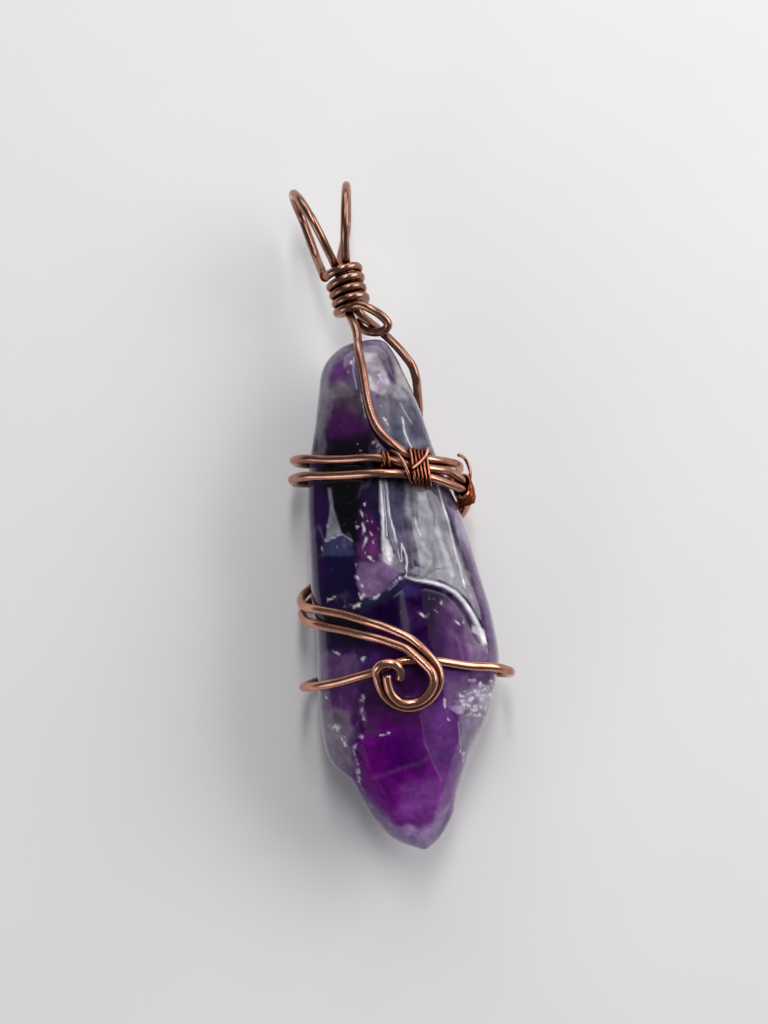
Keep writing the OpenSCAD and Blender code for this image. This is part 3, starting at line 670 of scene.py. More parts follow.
# Each noise takes the points, for some drawn out along the stone, a cell's size in millimetres and a seed.
fray = np.stack([noise(stone_points, 1.1, 1), noise(stone_points, 1.1, 2)], -1)
on_front = ease(EDGE_Z + 0.6, EDGE_Z + 2.2, stone_points[..., 2])
on_back = 1 - on_front
cloud = noise(stone_points, 6.0, 3)
grain = noise(stone_points, 1.6, 4)
speck = noise(stone_points, 0.45, 5)
streak = noise(stone_points * [1, 0.16, 0.6], 0.55, 8)
fold = noise(stone_points * [1, 0.22, 0.6], 1.5, 9, 2)

LIP_HEIGHT, RIDGE_HEIGHT, SCOOP_DEPTH, HOLLOW_DEPTH, VEIN_DEPTH, CHIP_DEPTH = 0.05, 0.06, 0.30, 0.16, 0.14, 0.08
FACE_FOLDS, FRONT_FOLDS, SWELL, RIPPLE = 0.055, 0.018, 0.04, 0.010
LIP = [
    (-3.3, -9.4), (-2.1, -9), (-1, -8.5), (0, -7.8), (0.7, -7.35), (1.6, -7.7), (2.9, -8), (4.1, -8.35), (5, -8.9),
    (5.75, -9.8), (6.35, -10.9), (6.8, -12.1), (7.1, -13.6)]
# The glint is a painted highlight where the lip's white line ends as it turns down.
GLINT = [(6.4, -12), (6.9, -12.1), (7.2, -12.4), (7.35, -13.8), (6.8, -13), (6.35, -12.5)]
HOLLOW = [
    (-3.1, -5.6), (-1, -5.8), (0.55, -7.1), (0, -7.8), (-1.1, -8.4), (-2, -8.9), (-3.1, -8.7), (-3.6, -7.6),
    (-3.5, -6.4)]
RIDGES = [
    [(-0.5, 1.3), (-0.55, -1), (-0.75, -3.2), (-0.6, -5.8)], [(0.02, 1.2), (0, -1.6), (0.3, -4.2), (0.35, -5.8)]]
VEIN = [
    (-4.1, -17.3), (-4.4, -18.4), (-4.15, -19.6), (-4.3, -20.5), (-4.85, -21.4), (-5.15, -22.6), (-5.1, -23.6),
    (-4.9, -25.1)]
ROUGH = [(4.4, -17.8), (5.6, -17), (7.8, -16.7), (7.7, -18.6), (6.6, -20.4), (5, -20.1), (4, -18.9)]
RIGHT_FACE = [(1.4, 1.6), (5.8, 1.6), (7.4, -9), (7, -12.5), (5, -9.2), (3, -7.9), (1, -6.8)]


def patch(corners, soft, wander=0.0):
    """1 well inside a patch on the front of the stone, 0 outside it, with a border that wanders with the noise."""
    return inside(xy + wander * fray, corners, soft) * on_front


below_lip = side_of(xy, LIP)
lip_ends = ease(-3.6, -1.8, across) * ease(-15.0, -12.5, along)
lip_front = lip_ends * on_front
scoop = ease(0.0, 0.7, below_lip) * (1 - ease(0.8, 6.5, below_lip)) * lip_front
lip = (1 - ease(0.0, 0.45, np.abs(below_lip))) * lip_front
hollow = patch(HOLLOW, 0.45, 0.1)
vein = near_line(xy + 0.3 * fray, VEIN, 0.24) * on_front
ridges = sum(near_line(xy, ridge, 0.34) for ridge in RIDGES) * on_front
chips = patch(ROUGH, 0.5, 0.3)
right_face = patch(RIGHT_FACE, 0.9)
push = LIP_HEIGHT * lip - SCOOP_DEPTH * scoop - HOLLOW_DEPTH * hollow - VEIN_DEPTH * vein + RIDGE_HEIGHT * ridges
push -= CHIP_DEPTH * chips * ease(-0.1, 0.5, grain)
push += FACE_FOLDS * right_face * fold + FRONT_FOLDS * on_front * fold + SWELL * cloud + RIPPLE * grain
ends = ease(0.0, 0.02, A) * ease(0.0, 0.02, 1 - A)
stone_points = np.clip(stone_points + stone_out * (push * ends)[..., None], LOW_CORNER, HIGH_CORNER)
print("Marks move the skin by", push.min().round(2), "to", push.max().round(2), "mm")

# %% [markdown]
# ## Colours of the stone
#
# The body runs from a lavender tip through magenta and near-black violet to a lavender crown, and its rim is paler,
# because there the light passes through less stone. Over the body lie veils: patches with a colour, a strength, a
# softness of border and corners in plan. Veils deep in the stone have soft borders. Those that a polished face
# throws back have sharp ones: they are painted reflections and highlights. Noise frays every border, more where it is
# soft.

# %% Body of the stone
PAINT_GAIN, MOST_WANDER = 1.1, 0.35


def tone(r, g, b):
    """A colour as the eye grades it, from 0 to 100, turned into amounts of light by the power 2.2."""
    return (np.array([r, g, b]) / 100) ** 2.2 * PAINT_GAIN


def blend(base, colour, amount):
    """The base plus the amount times the way from it to the colour."""
    return base + (np.asarray(colour) - base) * np.clip(amount, 0, 1)[..., None]


# Place along, then the tone.
BODY = np.array([
    [0, 50, 42, 57], [0.05, 42, 28, 50], [0.12, 34, 12, 42], [0.24, 30, 12, 38], [0.34, 27, 15, 36],
    [0.42, 18, 9, 28], [0.52, 13, 6, 21], [0.66, 11, 5, 19], [0.77, 20, 14, 29], [0.86, 32, 27, 38],
    [0.93, 40, 35, 45], [1, 45, 41, 49]])
wobble = A + 0.02 * cloud
body_tones = np.array([tone(*row[1:]) for row in BODY])
tint = np.stack([np.interp(wobble, BODY[:, 0], column) for column in body_tones.T], -1)
half = np.where(across < AXIS_X, reach(LEFT, A), reach(RIGHT, A)) * STONE_WIDTH
rim = np.abs(across - AXIS_X) / np.maximum(half, 0.05) + 0.03 * cloud
left_side = 1 - ease(-1.0, 1.0, across)
narrow = left_side * (ease(-11.0, -8.0, along) * (1 - ease(3.0, 6.0, along)) + 1 - ease(-24.0, -22.0, along))
rim_strength = 0.35 + 0.4 * on_front
tint = blend(tint, tone(40, 37, 46), rim_strength * left_side * ease(0.80, 0.97, rim - 0.09 * narrow))
tint = blend(tint, tone(38, 29, 43), rim_strength * (1 - left_side) * ease(0.80, 0.97, rim))
tint = blend(tint, tone(48, 43, 54), 0.75 * on_back * ease(-0.1, 0.6, cloud + 0.3 * fold))
tint = blend(tint, tone(22, 5, 30), 0.7 * on_back * ease(0.0, 0.6, -cloud - 0.3 * fold))
print("Body of the stone from", tint.min().round(3), "to", tint.max().round(3))


def lay_veils(tint, part, veils):
    """Lays each veil over what is there. The rows hold the tone, strength, softness and corners."""
    for colour, strength, soft, corners in veils:
        where = patch(corners, soft, min(MOST_WANDER, 0.9 * soft))
        tint = blend(tint, tone(*colour), strength * where * (1 + 0.12 * grain))
    print("Veils laid on the", part + ":", len(veils))
    return tint


# %% [markdown]
# The crown is the cloudiest part. A milky veil hangs behind the wire, with sharp pale patches on it that are a painted
# reflection of the far window. A violet patch glows left of it, and smoke drifts down into the black floor where the
# bands cross. The right shoulder is cream and slate.

# %% Veils of the crown
tint = lay_veils(tint, "crown", [
    ((34, 20, 40), 0.88, 0.45, [(-3.7, 13.2), (-1.7, 14), (-1.8, 12.1), (-2.6, 10.9), (-4.2, 11.3)]),
    ((47, 41, 49), 0.75, 0.3, [(-4.9, 13.2), (-3.9, 14.4), (-3.9, 12.6), (-4.5, 10.6), (-5.2, 10.6)]),
    ((47, 44, 47), 0.65, 0.4, [(-4.3, 11), (-2.5, 10.9), (-2, 10.2), (-3.2, 9.7), (-4.7, 10)]),
    ((28, 22, 26), 0.8, 0.6, [(-3.6, 10.1), (-1.2, 10.5), (-1, 7.8), (-2.4, 7.4), (-4, 8.3)]),
    ((25, 7, 29), 0.88, 0.6, [(-4.4, 9.1), (-2.9, 8.6), (-1, 7.2), (-0.1, 5.2), (-0.4, 4.2), (-5.2, 4.7), (-4.8, 7)]),
    ((3, 2, 6), 0.94, 0.7, [(-4.7, 6.2), (-0.9, 6), (0.2, 3.4), (-0.2, 1), (-5.3, 1), (-5.5, 3.5)]),
    ((42, 39, 44), 0.8, 0.22, [(-4.5, 10), (-4, 9.3), (-4.9, 6.9), (-5.2, 4.4), (-6.4, 4.4), (-5.7, 7.4)]),
    ((16, 12, 23), 0.85, 0.1, [(-6.1, 7.6), (-5.65, 6.4), (-5.7, 5.4), (-6.3, 5.4)]),
    ((32, 28, 32), 0.7, 0.25, [(-6.6, 8.4), (-5.7, 8), (-5.7, 6.9), (-6.5, 6.8)]),
    # Painted reflection of the far window: the sharp pale patch right of the crown wire.
    ((68, 65, 69), 0.88, 0.16, [(-1, 14), (0.45, 13.8), (1.25, 11), (1.5, 9.7), (0.8, 9.2), (-0.7, 10.3)]),
    ((50, 46, 55), 0.85, 0.3, [(-0.5, 12), (0.5, 12.2), (0.9, 10.2), (0.2, 9.6)]),
    ((25, 18, 31), 0.88, 0.2, [(0.85, 13.6), (1.5, 13.2), (1.95, 10.9), (1.45, 10.8)]),
    ((54, 53, 53), 0.8, 0.3, [(1.8, 13), (3.2, 12), (3.9, 10), (2.1, 9.9)]),
    ((37, 36, 41), 0.88, 0.45, [(0.3, 9), (1.9, 9.9), (4, 9.8), (5.4, 5), (1.6, 3.4), (0.3, 6.4)]),
    # Painted reflection: a smaller pale patch beside it.
    ((58, 56, 61), 0.75, 0.22, [(1.3, 10.6), (2.3, 10.2), (2.8, 9.2), (1.9, 8.9), (1.2, 9.5)]),
    ((28, 28, 35), 0.7, 0.4, [(2.2, 7.4), (3, 7), (3.2, 4.9), (2.3, 5)]),
    ((27, 28, 36), 0.75, 0.35, [(1.1, 7), (1.9, 6.6), (2.2, 4.4), (1.3, 4.9)]),
    ((22, 21, 31), 0.75, 0.35, [(2.7, 8.6), (3.3, 8.2), (4.2, 5.2), (3, 5)]),
    ((48, 48, 53), 0.55, 0.16, [(1.9, 7.4), (2.2, 7.2), (2.6, 4.6), (2.1, 4.9)])])

# %% [markdown]
# In the middle the stone is deepest and darkest. Two polished planes throw light back there, and their sheen is
# painted into the colour: a narrow spear, with a scratched fan at its foot, and the pale right face with its folds.
# Between them a red-violet window opens into the core, and below the lip the scoop is dark again. The two ridges in
# the middle carry painted highlights too.

# %% Veils of the middle
tint = lay_veils(tint, "middle", [
    ((15, 6, 24), 0.88, 0.3, [(-6.6, 2.4), (-5.3, 1.7), (-5.5, -1.2), (-5.9, -3.4), (-6.7, -8.8), (-7.5, -8.6)]),
    ((8, 1, 20), 0.92, 0.5, [(-5.9, -4.7), (-3.6, -4.9), (-3.4, -9.2), (-6.7, -8.8)]),
    ((2, 2, 3), 0.97, 0.32, [(-4.7, 2.4), (-2.3, 2.4), (-2.6, -1), (-3.1, -3.8), (-3.8, -3.6), (-4.5, -2.2),
        (-4.8, 0.2)]),
    ((12, 10, 20), 0.85, 0.4, [(-2.2, 2), (-0.7, 2), (-0.9, -2.2), (-1.6, -1.8)]),
    ((25, 9, 28), 0.85, 0.3, [(-2.7, -1.2), (-1.7, -0.8), (-1, -3), (-1, -4.2), (-3, -4.2)]),
    ((34, 17, 36), 0.85, 0.4, [(-2.9, -3.6), (-1, -3.4), (-1, -6), (-3.2, -5.9)]),
    # Painted glint: the spear, a narrow polished plane that throws back the window.
    ((51, 51, 56), 0.92, 0.07, [(-5.15, 1.75), (-4.9, 1.65), (-4.82, -0.3), (-4.35, -2.6), (-5, -2.95), (-5.75, -3),
        (-5.45, -1.2), (-5.15, 0)]),
    ((21, 22, 35), 0.85, 0.12, [(-5.8, -3.05), (-4.4, -2.7), (-3.6, -3.5), (-3.35, -4.9), (-4.2, -4.75),
        (-6.4, -4.4)]),
    ((29, 28, 37), 0.85, 0.35, [(0.1, 1.4), (1.7, 1.4), (1.4, -3.3), (1.2, -6), (0.3, -5.9), (0.2, -3)]),
    ((12, 8, 17), 0.7, 0.3, [(0.5, 2.2), (1.6, 2.2), (1.5, 0.3), (0.6, 0.3)]),
    ((41, 34, 46), 0.75, 0.4, [(0.4, -3.6), (1.3, -3.4), (2, -5.9), (0.9, -7.1), (-0.2, -6.4)]),
    # Painted highlight: the two middle ridges throw back the bright strip.
    ((52, 51, 57), 0.88, 0.1, [(-0.62, 1.6), (0.04, 1.5), (0.04, -1.8), (0.42, -4.3), (0.3, -5.6), (-0.7, -6),
        (-0.85, -3)]),
    ((60, 58, 65), 0.85, 0.25, [(-1.3, -5.2), (0.4, -5.3), (0.7, -7.1), (0.1, -7.6), (-0.5, -6.6), (-1.2, -6.1)]),
    # Painted highlight: the flare at the foot of the ridges.
    ((90, 89, 93), 0.9, 0.14, [(-0.8, -3.6), (-0.3, -4), (0.05, -5.3), (-0.4, -6.1), (-1.1, -6)]),
    ((62, 61, 66), 0.75, 0.2, [(0.8, -6.6), (1.9, -6.8), (2, -7.6), (0.9, -7.5)]),
    # Painted reflection of the window: the sheen of the right face, in this row and the next two; the middle row is a
    # darker patch in it.
    ((53, 52, 57), 0.88, 0.3, [(1.6, 1.2), (3.4, 1), (3.9, -1.7), (3.5, -4.2), (3.7, -7.3), (2, -6.2), (1.35, -4.9)]),
    ((39, 39, 44), 0.7, 0.45, [(2.6, -2.2), (3.7, -2.2), (3.7, -4.8), (2.4, -4.8)]),
    ((41, 40, 46), 0.9, 0.18, [(3.5, 1), (4.5, 1), (5.5, -3.7), (6.4, -7.2), (6.5, -9.9), (4.5, -8.1), (3.6, -7.4),
        (3.5, -4.1), (4, -1.7)]),
    ((44, 38, 48), 0.85, 0.25, [(4.75, 1.4), (5.8, 1.4), (6.9, -4.2), (7.5, -8.8), (6.9, -11.2), (6.5, -7.8),
        (5.6, -3.4)]),
    ((38, 27, 44), 0.7, 0.5, [(6.1, -5), (6.7, -4.8), (7.4, -9.4), (7.5, -12.5), (6.8, -12), (6.4, -9)]),
    # Painted reflection: the sheen reaching the right edge.
    ((60, 57, 62), 0.8, 0.25, [(4.9, -3.6), (5.6, -4.4), (6.6, -7.4), (6.5, -9.4), (5.8, -8), (5, -5.6)]),
    # Painted reflection: the lower sheen, just above the lip.
    ((50, 49, 55), 0.8, 0.18, [(0.9, -7), (2, -6.4), (3.4, -6.6), (5.4, -6.2), (6.1, -9.5), (5.1, -8.9), (4.2, -8.2),
        (2.9, -7.85), (1.6, -7.5)]),
    ((47, 36, 53), 0.92, 0.12, HOLLOW),
    ((54, 43, 58), 0.6, 0.4, [(-2.8, -6.2), (-1.6, -6), (-1.9, -8.3), (-3, -8.2)]),
    ((17, 17, 28), 0.9, 0.26, [(-3.4, -9.1), (-1, -8.6), (0.6, -7.6), (1.6, -8), (-0.8, -9.6), (-3.4, -10)]),
    ((10, 3, 17), 0.92, 0.8, [(0.3, -8.6), (2.9, -8.4), (4.4, -9.3), (4.3, -12), (1.4, -13), (-1.4, -11.2),
        (-4, -10)]),
    ((31, 17, 36), 0.8, 1, [(3.9, -9.9), (5.2, -10.4), (6.4, -13), (7.1, -15.6), (3.9, -15.6), (3.4, -12.8)]),
    ((42, 33, 45), 0.75, 0.4, [(4.1, -9.4), (5, -9.7), (5.9, -11.6), (4.8, -11.6)]),
    ((22, 11, 30), 0.75, 0.5, [(0.2, -9.9), (1.9, -10.1), (2, -11.8), (0.3, -11.8)]),
    ((20, 15, 33), 0.75, 0.4, [(0.5, -8.2), (1.9, -8.4), (1.7, -9.3), (0.4, -9.2)]),
    ((17, 2, 23), 0.88, 0.45, [(2, -12.2), (3.5, -12.4), (4, -13.6), (3.5, -15.2), (1.8, -14.8)]),
    ((9, 1, 18), 0.88, 0.5, [(-7, -9), (-3, -10.4), (-3.2, -12.9), (-7.3, -12.9)]),
    ((49, 40, 53), 0.7, 0.5, [(6, -12), (7.4, -12.4), (7.9, -16.4), (5.6, -16.4), (5.6, -13.6)])])

# %% [markdown]
# The lower part is clearer. It glows magenta in the middle, most on the left, and turns indigo in its heart. The
# vein cuts off a pale flank on the left, and the rough chips on the right look white. The tip is cloudy lavender.

# %% Veils of the lower part
tint = lay_veils(tint, "lower part", [
    ((38, 28, 44), 0.85, 0.5, [(-7.3, -13.4), (-4.2, -13.4), (-4.3, -15.8), (-7.5, -16.2)]),
    ((33, 18, 38), 0.8, 0.5, [(-7.6, -16.4), (-4, -16.4), (-4.4, -18.6), (-7.8, -18.8)]),
    ((23, 10, 29), 0.85, 0.4, [(-1.6, -13.6), (1.4, -13.6), (1.7, -17.3), (-0.6, -18), (-1.8, -16.2)]),
    ((24, 11, 27), 0.75, 0.35, [(-5.2, -17), (-4.2, -17.2), (-4.3, -20.4), (-5, -20.4)]),
    ((46, 40, 49), 0.88, 0.4, [(-8, -18), (-6, -18), (-5.3, -18.4), (-5.2, -20.6), (-5.6, -23.6), (-7, -23),
        (-8, -20.4)]),
    ((50, 47, 53), 0.5, 0.25, [(-7, -18.6), (-6.2, -18.8), (-6.2, -20.6), (-6.9, -20.4)]),
    ((31, 6, 34), 0.85, 0.7, [(-4, -17.6), (-1.9, -18.6), (0.8, -19.2), (0.9, -20.9), (-4.2, -20.7)]),
    ((40, 7, 46), 0.92, 0.8, [(-4.3, -20.6), (0.6, -20.4), (1.3, -23.3), (2.5, -24.4), (2.4, -26.9), (0, -28.8),
        (-2.4, -28.8), (-5, -25.6)]),
    ((37, 4, 40), 0.65, 0.6, [(-4.7, -21.8), (-3, -22), (-3, -24.4), (-4.9, -24.6)]),
    ((27, 1, 36), 0.92, 0.9, [(-2.8, -20.8), (0.4, -20.8), (1, -23), (-0.1, -24.4), (-2.6, -24)]),
    ((50, 27, 58), 0.75, 0.9, [(-1.6, -25.4), (2.3, -24.8), (2.3, -27.4), (0, -28.4), (-1.8, -27.8)]),
    ((39, 21, 48), 0.8, 0.2, [(0.85, -18.8), (3.2, -18.4), (4, -20.6), (3.9, -23.9), (2.8, -26), (1.5, -23.7),
        (0.95, -21.1)]),
    ((48, 43, 53), 0.8, 0.22, [(4.1, -19.4), (6.3, -20), (4.4, -24), (3.95, -22.8)]),
    ((38, 28, 43), 0.8, 0.35, [(3.1, -16.6), (5.3, -16.4), (4.9, -17.4), (4, -18.4), (3.2, -18.2)]),
    ((50, 45, 54), 0.8, 0.4, ROUGH),
    ((70, 67, 73), 0.6, 0.3, [(5.9, -17.8), (7.7, -17.6), (7.2, -19.2), (6, -19.4)]),
    ((72, 58, 80), 0.8, 0.45, [(-3.7, -27.9), (-0.2, -29.3), (2.3, -27.5), (2.4, -29.6), (0.1, -31.1), (-2, -30.3)]),
    ((36, 22, 40), 0.5, 0.4, [(-4, -19.2), (-2.9, -19.2), (-2.9, -20.8), (-4.1, -20.8)]),
    ((14, 3, 13), 0.6, 0.4, [(-4.2, -15.8), (-2.5, -15.8), (-2.5, -18.2), (-4.2, -18.2)])])

# %% [markdown]
# Last come the small things. Smoke darkens the stone in drifts, and pale wisps, the places where a noise passes
# through zero, lie over all but the tip. The lip gets a painted highlight, a white line that widens to the right,
# where
# the break turns down, and a dark line just above it. A thread is a bright or dark line that is thinner than a hair:
# mostly a healed crack, but the pale lines on the two middle ridges and in the right face's sheen are painted
# highlights. Pale and dark streaks break up that painted sheen. A flake is a scrap of a crack that faces the light, so
# it is painted as a small white glint, broken up.

# %% Threads and flakes
WHITE, BLACK, SHADE = tone(88, 87, 91), tone(5, 3, 8), tone(0, 0, 0)
DARK_THREADS = [
    (0.8, 0.11, [(-0.22, 1.4), (-0.3, -1.2), (-0.35, -3.2), (-0.1, -4.4), (0.05, -5.4)]),
    (0.8, 0.13, [(3.3, 1), (3.6, -0.6), (3.95, -1.9), (3.85, -2.8)]),
    (0.6, 0.1, [(4.6, 1), (5.2, -2.3), (5.9, -6.3)]),
    (0.9, 0.14, [(0.6, -7.2), (1.3, -6.7), (1.9, -6.5), (2.6, -6.7)]),
    (1, 0.22, [(2.5, -7.5), (2.8, -7.2), (3.1, -7)]), (0.9, 0.14, [(3, -7), (3.7, -6.8), (4.5, -6.8)]),
    (0.7, 0.1, [(1.7, -5.3), (2.2, -5), (2.6, -4.8)]), (0.4, 0.18, [(3.5, -4.6), (3.3, -5.4), (3.6, -6.2)]),
    (0.35, 0.35, [(1.9, -0.4), (2, -2), (1.8, -3.2)]), (0.25, 0.35, [(2.6, -0.2), (2.9, -1.8)]),
    (0.7, 0.09, [(4.6, -4.4), (4.5, -4.9), (4.8, -5.2)]), (0.8, 0.1, [(0, -4.8), (0.3, -5.6), (0.5, -6)])]
# Pale lines: healed cracks, and also painted highlights; the first two rows run on the two middle ridges, and several
# lie in the right face's painted sheen.
PALE_CRACKS_AND_HIGHLIGHTS = [
    (1, 0.18, [(-0.5, 1.4), (-0.52, -1), (-0.72, -3.2), (-0.65, -5.6)]),
    (0.9, 0.13, [(0.04, 1.3), (0.02, -1.6), (0.32, -4.2)]), (0.9, 0.12, [(4.5, 1), (5.2, -3.3), (6, -8.6)]),
    (0.8, 0.1, [(2.2, -2.2), (2.2, -2.9), (2.5, -3.9)]),
    (0.07, 0.18, [(0.8, -19.5), (0.9, -21.6), (1.4, -23.5), (2.1, -25.2)]),
    (0.03, 0.3, [(-3.8, -24.3), (0.5, -23.4), (2, -22.6)]), (0.25, 0.12, [(4, -20.3), (4, -22), (4.15, -23.7)]),
    (0.8, 0.12, [(2.1, 7.2), (2.1, 6), (2.4, 4.9), (2.6, 4.2)]),
    (0.5, 0.1, [(-1.7, 13.5), (-1.8, 12.1), (-1.7, 10.4)]), (0.3, 0.12, [(2, 8.6), (2.9, 6.6)]),
    (0.25, 0.35, [(2.6, -4.6), (3.2, -5.6), (3.1, -6.4)]), (0.35, 0.4, [(4, -3.2), (4.6, -5.6), (5, -7.4)]),
    (0.5, 0.1, [(-5.7, -3.1), (-4.4, -2.7), (-3.5, -3.5)])]
FLAKES = [
    (0.26, [(-2.2, -0.5), (-2.15, -1.8)]), (0.24, [(-2.75, -2), (-2.65, -3.3)]), (0.26, [(-2.5, -3.7), (-2.1, -5.3)]),
    (0.22, [(-1.6, -2), (-1.2, -3.1)]), (0.16, [(-1.9, -3.3), (-1.6, -3.8)]), (0.15, [(-0.9, -4.4), (-0.9, -4.8)]),
    (0.14, [(-6.3, -8.4), (-5.6, -8.4)]), (0.24, [(-4.95, -8), (-4.9, -9.2)]), (0.24, [(-4.3, -9.3), (-3, -9.3)]),
    (0.2, [(-5.6, -1.7), (-5.5, -1.95)]), (0.18, [(-6.2, -3.7), (-5.7, -3.1)]), (0.12, [(-4.8, -4), (-4.6, -4.1)]),
    (0.26, [(-3.3, -5.9), (-3.6, -6.8), (-3.4, -7.8), (-3, -8.7)]),
    (0.18, [(0.6, -7.15), (-0.1, -7.75), (-1.2, -8.4), (-2.2, -8.8)]), (0.2, [(2.9, -9.3), (3.4, -9.45)]),
    (0.2, [(4.1, -9.5), (4.1, -10.2)]), (0.2, [(1.8, -10.6), (2.2, -10.95), (2.7, -10.7)]),
    (0.16, [(-3, -20.95), (-2.5, -20.8), (-2, -20.7)]), (0.16, [(-4.6, -26.1), (-4.1, -26.5)]),
    (0.3, [(-6.6, -19.4), (-6, -20.3), (-5.9, -21.3)]), (0.18, [(-7.3, -16.6), (-7, -16.9)]),
    (0.12, [(5.2, -17), (6.2, -16.9), (7.5, -16.9)]), (0.12, [(5.6, -17.4), (6.6, -17.3), (7.6, -17.3)]),
    (0.2, [(4.4, -18), (5.2, -18.4), (6, -18.3)]), (0.24, [(5, -18.9), (6.1, -19.1), (7, -19.4)]),
    (0.18, [(6.4, -18.2), (7.2, -18), (7.7, -18.2)]), (0.16, [(3, -18.3), (3.15, -19.4), (3.3, -20.2)]),
    (0.16, [(5, -11.6), (5.6, -11.9), (6.1, -11.7)]), (0.14, [(3.1, -10.4), (3.4, -10.8)]),
    (0.2, [(4, -22.4), (4.3, -23.4)]), (0.24, [(-2.2, 5.2), (-2, 4.6)]), (0.28, [(-0.6, 5), (0.1, 4.4)]),
    (0.22, [(-4.4, -13.5), (-3.9, -14.3), (-3.5, -14.1)]), (0.12, [(-6.2, -13.1), (-5.2, -13.3)]),
    (0.18, [(0.1, 8.4), (0.4, 7.6), (0.9, 6.4)]), (0.16, [(-1.9, 13), (-2, 12)])]


def crossed(rows, wander):
    """Greatest nearness to any line of a list whose rows hold a strength, a width and the line."""
    total = np.zeros(A.shape)
    for strength, width, line in rows:
        total = np.maximum(total, strength * near_line(xy + wander * fray, line, width))
    return total * on_front


dust = noise(stone_points, 0.3, 14, 2)
# Flakes are painted glints: small broken white marks where a crack faces the light.
flakes = crossed([(1.0, width, line) for width, line in FLAKES], 0.3) * ease(-0.1, 0.25, speck + 0.4 * dust)
wisps = 1 - ease(0.0, 0.16, np.abs(noise(stone_points * [1, 0.45, 1], 2.4, 15)))
wisps *= ease(0.0, 0.6, noise(stone_points, 3.0, 16, 2)) * ease(0.22, 0.34, A)
smoke = ease(0.1, 0.8, noise(stone_points * [1, 0.4, 1], 3.2, 17))
dark_line = 1 - ease(0.0, 0.20, np.abs(below_lip + 0.30))
# The white line along the lip is a painted highlight, wider to the right.
lip_highlight = 1 - ease(0.03, 1, np.abs(below_lip - 0.05) / (0.14 + 0.022 * np.clip(across, 0, 7)))
for colour, amount in (
        (SHADE, 0.22 * smoke), (tone(56, 52, 62), 0.16 * wisps),
        # Pale and dark streaks through the painted sheen of the right face.
        (tone(62, 61, 68), 0.30 * right_face * ease(0.1, 0.7, streak)),
        (SHADE, 0.36 * right_face * ease(0.1, 0.7, -streak)),
        (BLACK, 0.85 * dark_line * lip_front * ease(-3.0, 0.5, across)),
        (WHITE, 0.95 * lip_highlight * lip_front * ease(0.2, 1.6, across)), (WHITE, 0.9 * patch(GLINT, 0.08, 0.04)),
        (BLACK, 0.9 * crossed(DARK_THREADS, 0.06)), (WHITE, 0.85 * crossed(PALE_CRACKS_AND_HIGHLIGHTS, 0.06)),
        (WHITE, 0.6 * vein * ease(-0.2, 0.4, speck + 0.4 * dust)),
        (WHITE, 0.55 * chips * ease(0.1, 0.6, noise(stone_points * [0.6, 2.4, 1], 0.5, 12))), (WHITE, 0.8 * flakes)):
    tint = blend(tint, colour, amount)
# Grain and specks mottle the colour, more on the right face, where they also break up its painted sheen.
mottle = (0.22 + 0.2 * right_face) * grain + (0.16 + 0.12 * right_face) * speck
tint = np.clip(tint * (1 + mottle)[..., None], 0, 1)
print(f"Threads and flakes cover {100 * (flakes > 0.3).mean():.1f}% of the stone")

# %% [markdown]
# The polish is not the same everywhere. The broken scoop, the low face near the tip and three worn patches are
# duller, so they don't mirror the lights.

# %% Put the stone together
LOW_FACE = [(-6.2, -19), (-1.6, -19.6), (1.4, -28.6), (-1, -31.5), (-7, -26)]
WORN = [
    [(-1.4, 11), (2.2, 11), (4.6, 7), (4.6, 3.2), (-1.4, 3.2)], [(-6.9, 9), (-5.3, 9), (-5.3, 4.6), (-6.9, 4.6)],
    [(1.4, -15.4), (5.2, -15.4), (5.4, -18.6), (2, -19.2)]]
scoop_ends = ease(-3.6, -1.8, across) * ease(-18.5, -17.0, along)
dulled = 0.95 * (ease(0.2, 1.0, below_lip) * (1 - ease(7.0, 9.0, below_lip)) * scoop_ends * on_front)
for strength, corners, soft in [(0.9, LOW_FACE, 0.8)] + [(0.85, worn, 0.6) for worn in WORN]:
    dulled = np.maximum(dulled, strength * patch(corners, soft))

caps = [np.arange(SIDES)[::-1], (RINGS - 1) * SIDES + np.arange(SIDES)]
stone = make_mesh("amethyst_point", stone_points.reshape(-1, 3), grid_faces(RINGS, SIDES), caps)
paint(stone, "tint", tint.reshape(-1, 3))
paint(stone, "frost", np.clip(0.7 * chips * ease(0.0, 0.4, grain) + 0.8 * vein + 0.8 * flakes, 0, 1).ravel())
paint(stone, "polish", (1 - dulled).ravel())
print("Stone:", len(stone.data.polygons), "faces")

# %% [markdown]
# The shader's base takes the painted colours, a fine cloud and pale motes of its own. The coat is the polish: smooth
# on top of everything, as strong as the painted polish says. Where the stone is chipped, the base is rougher.

# %% Amethyst material


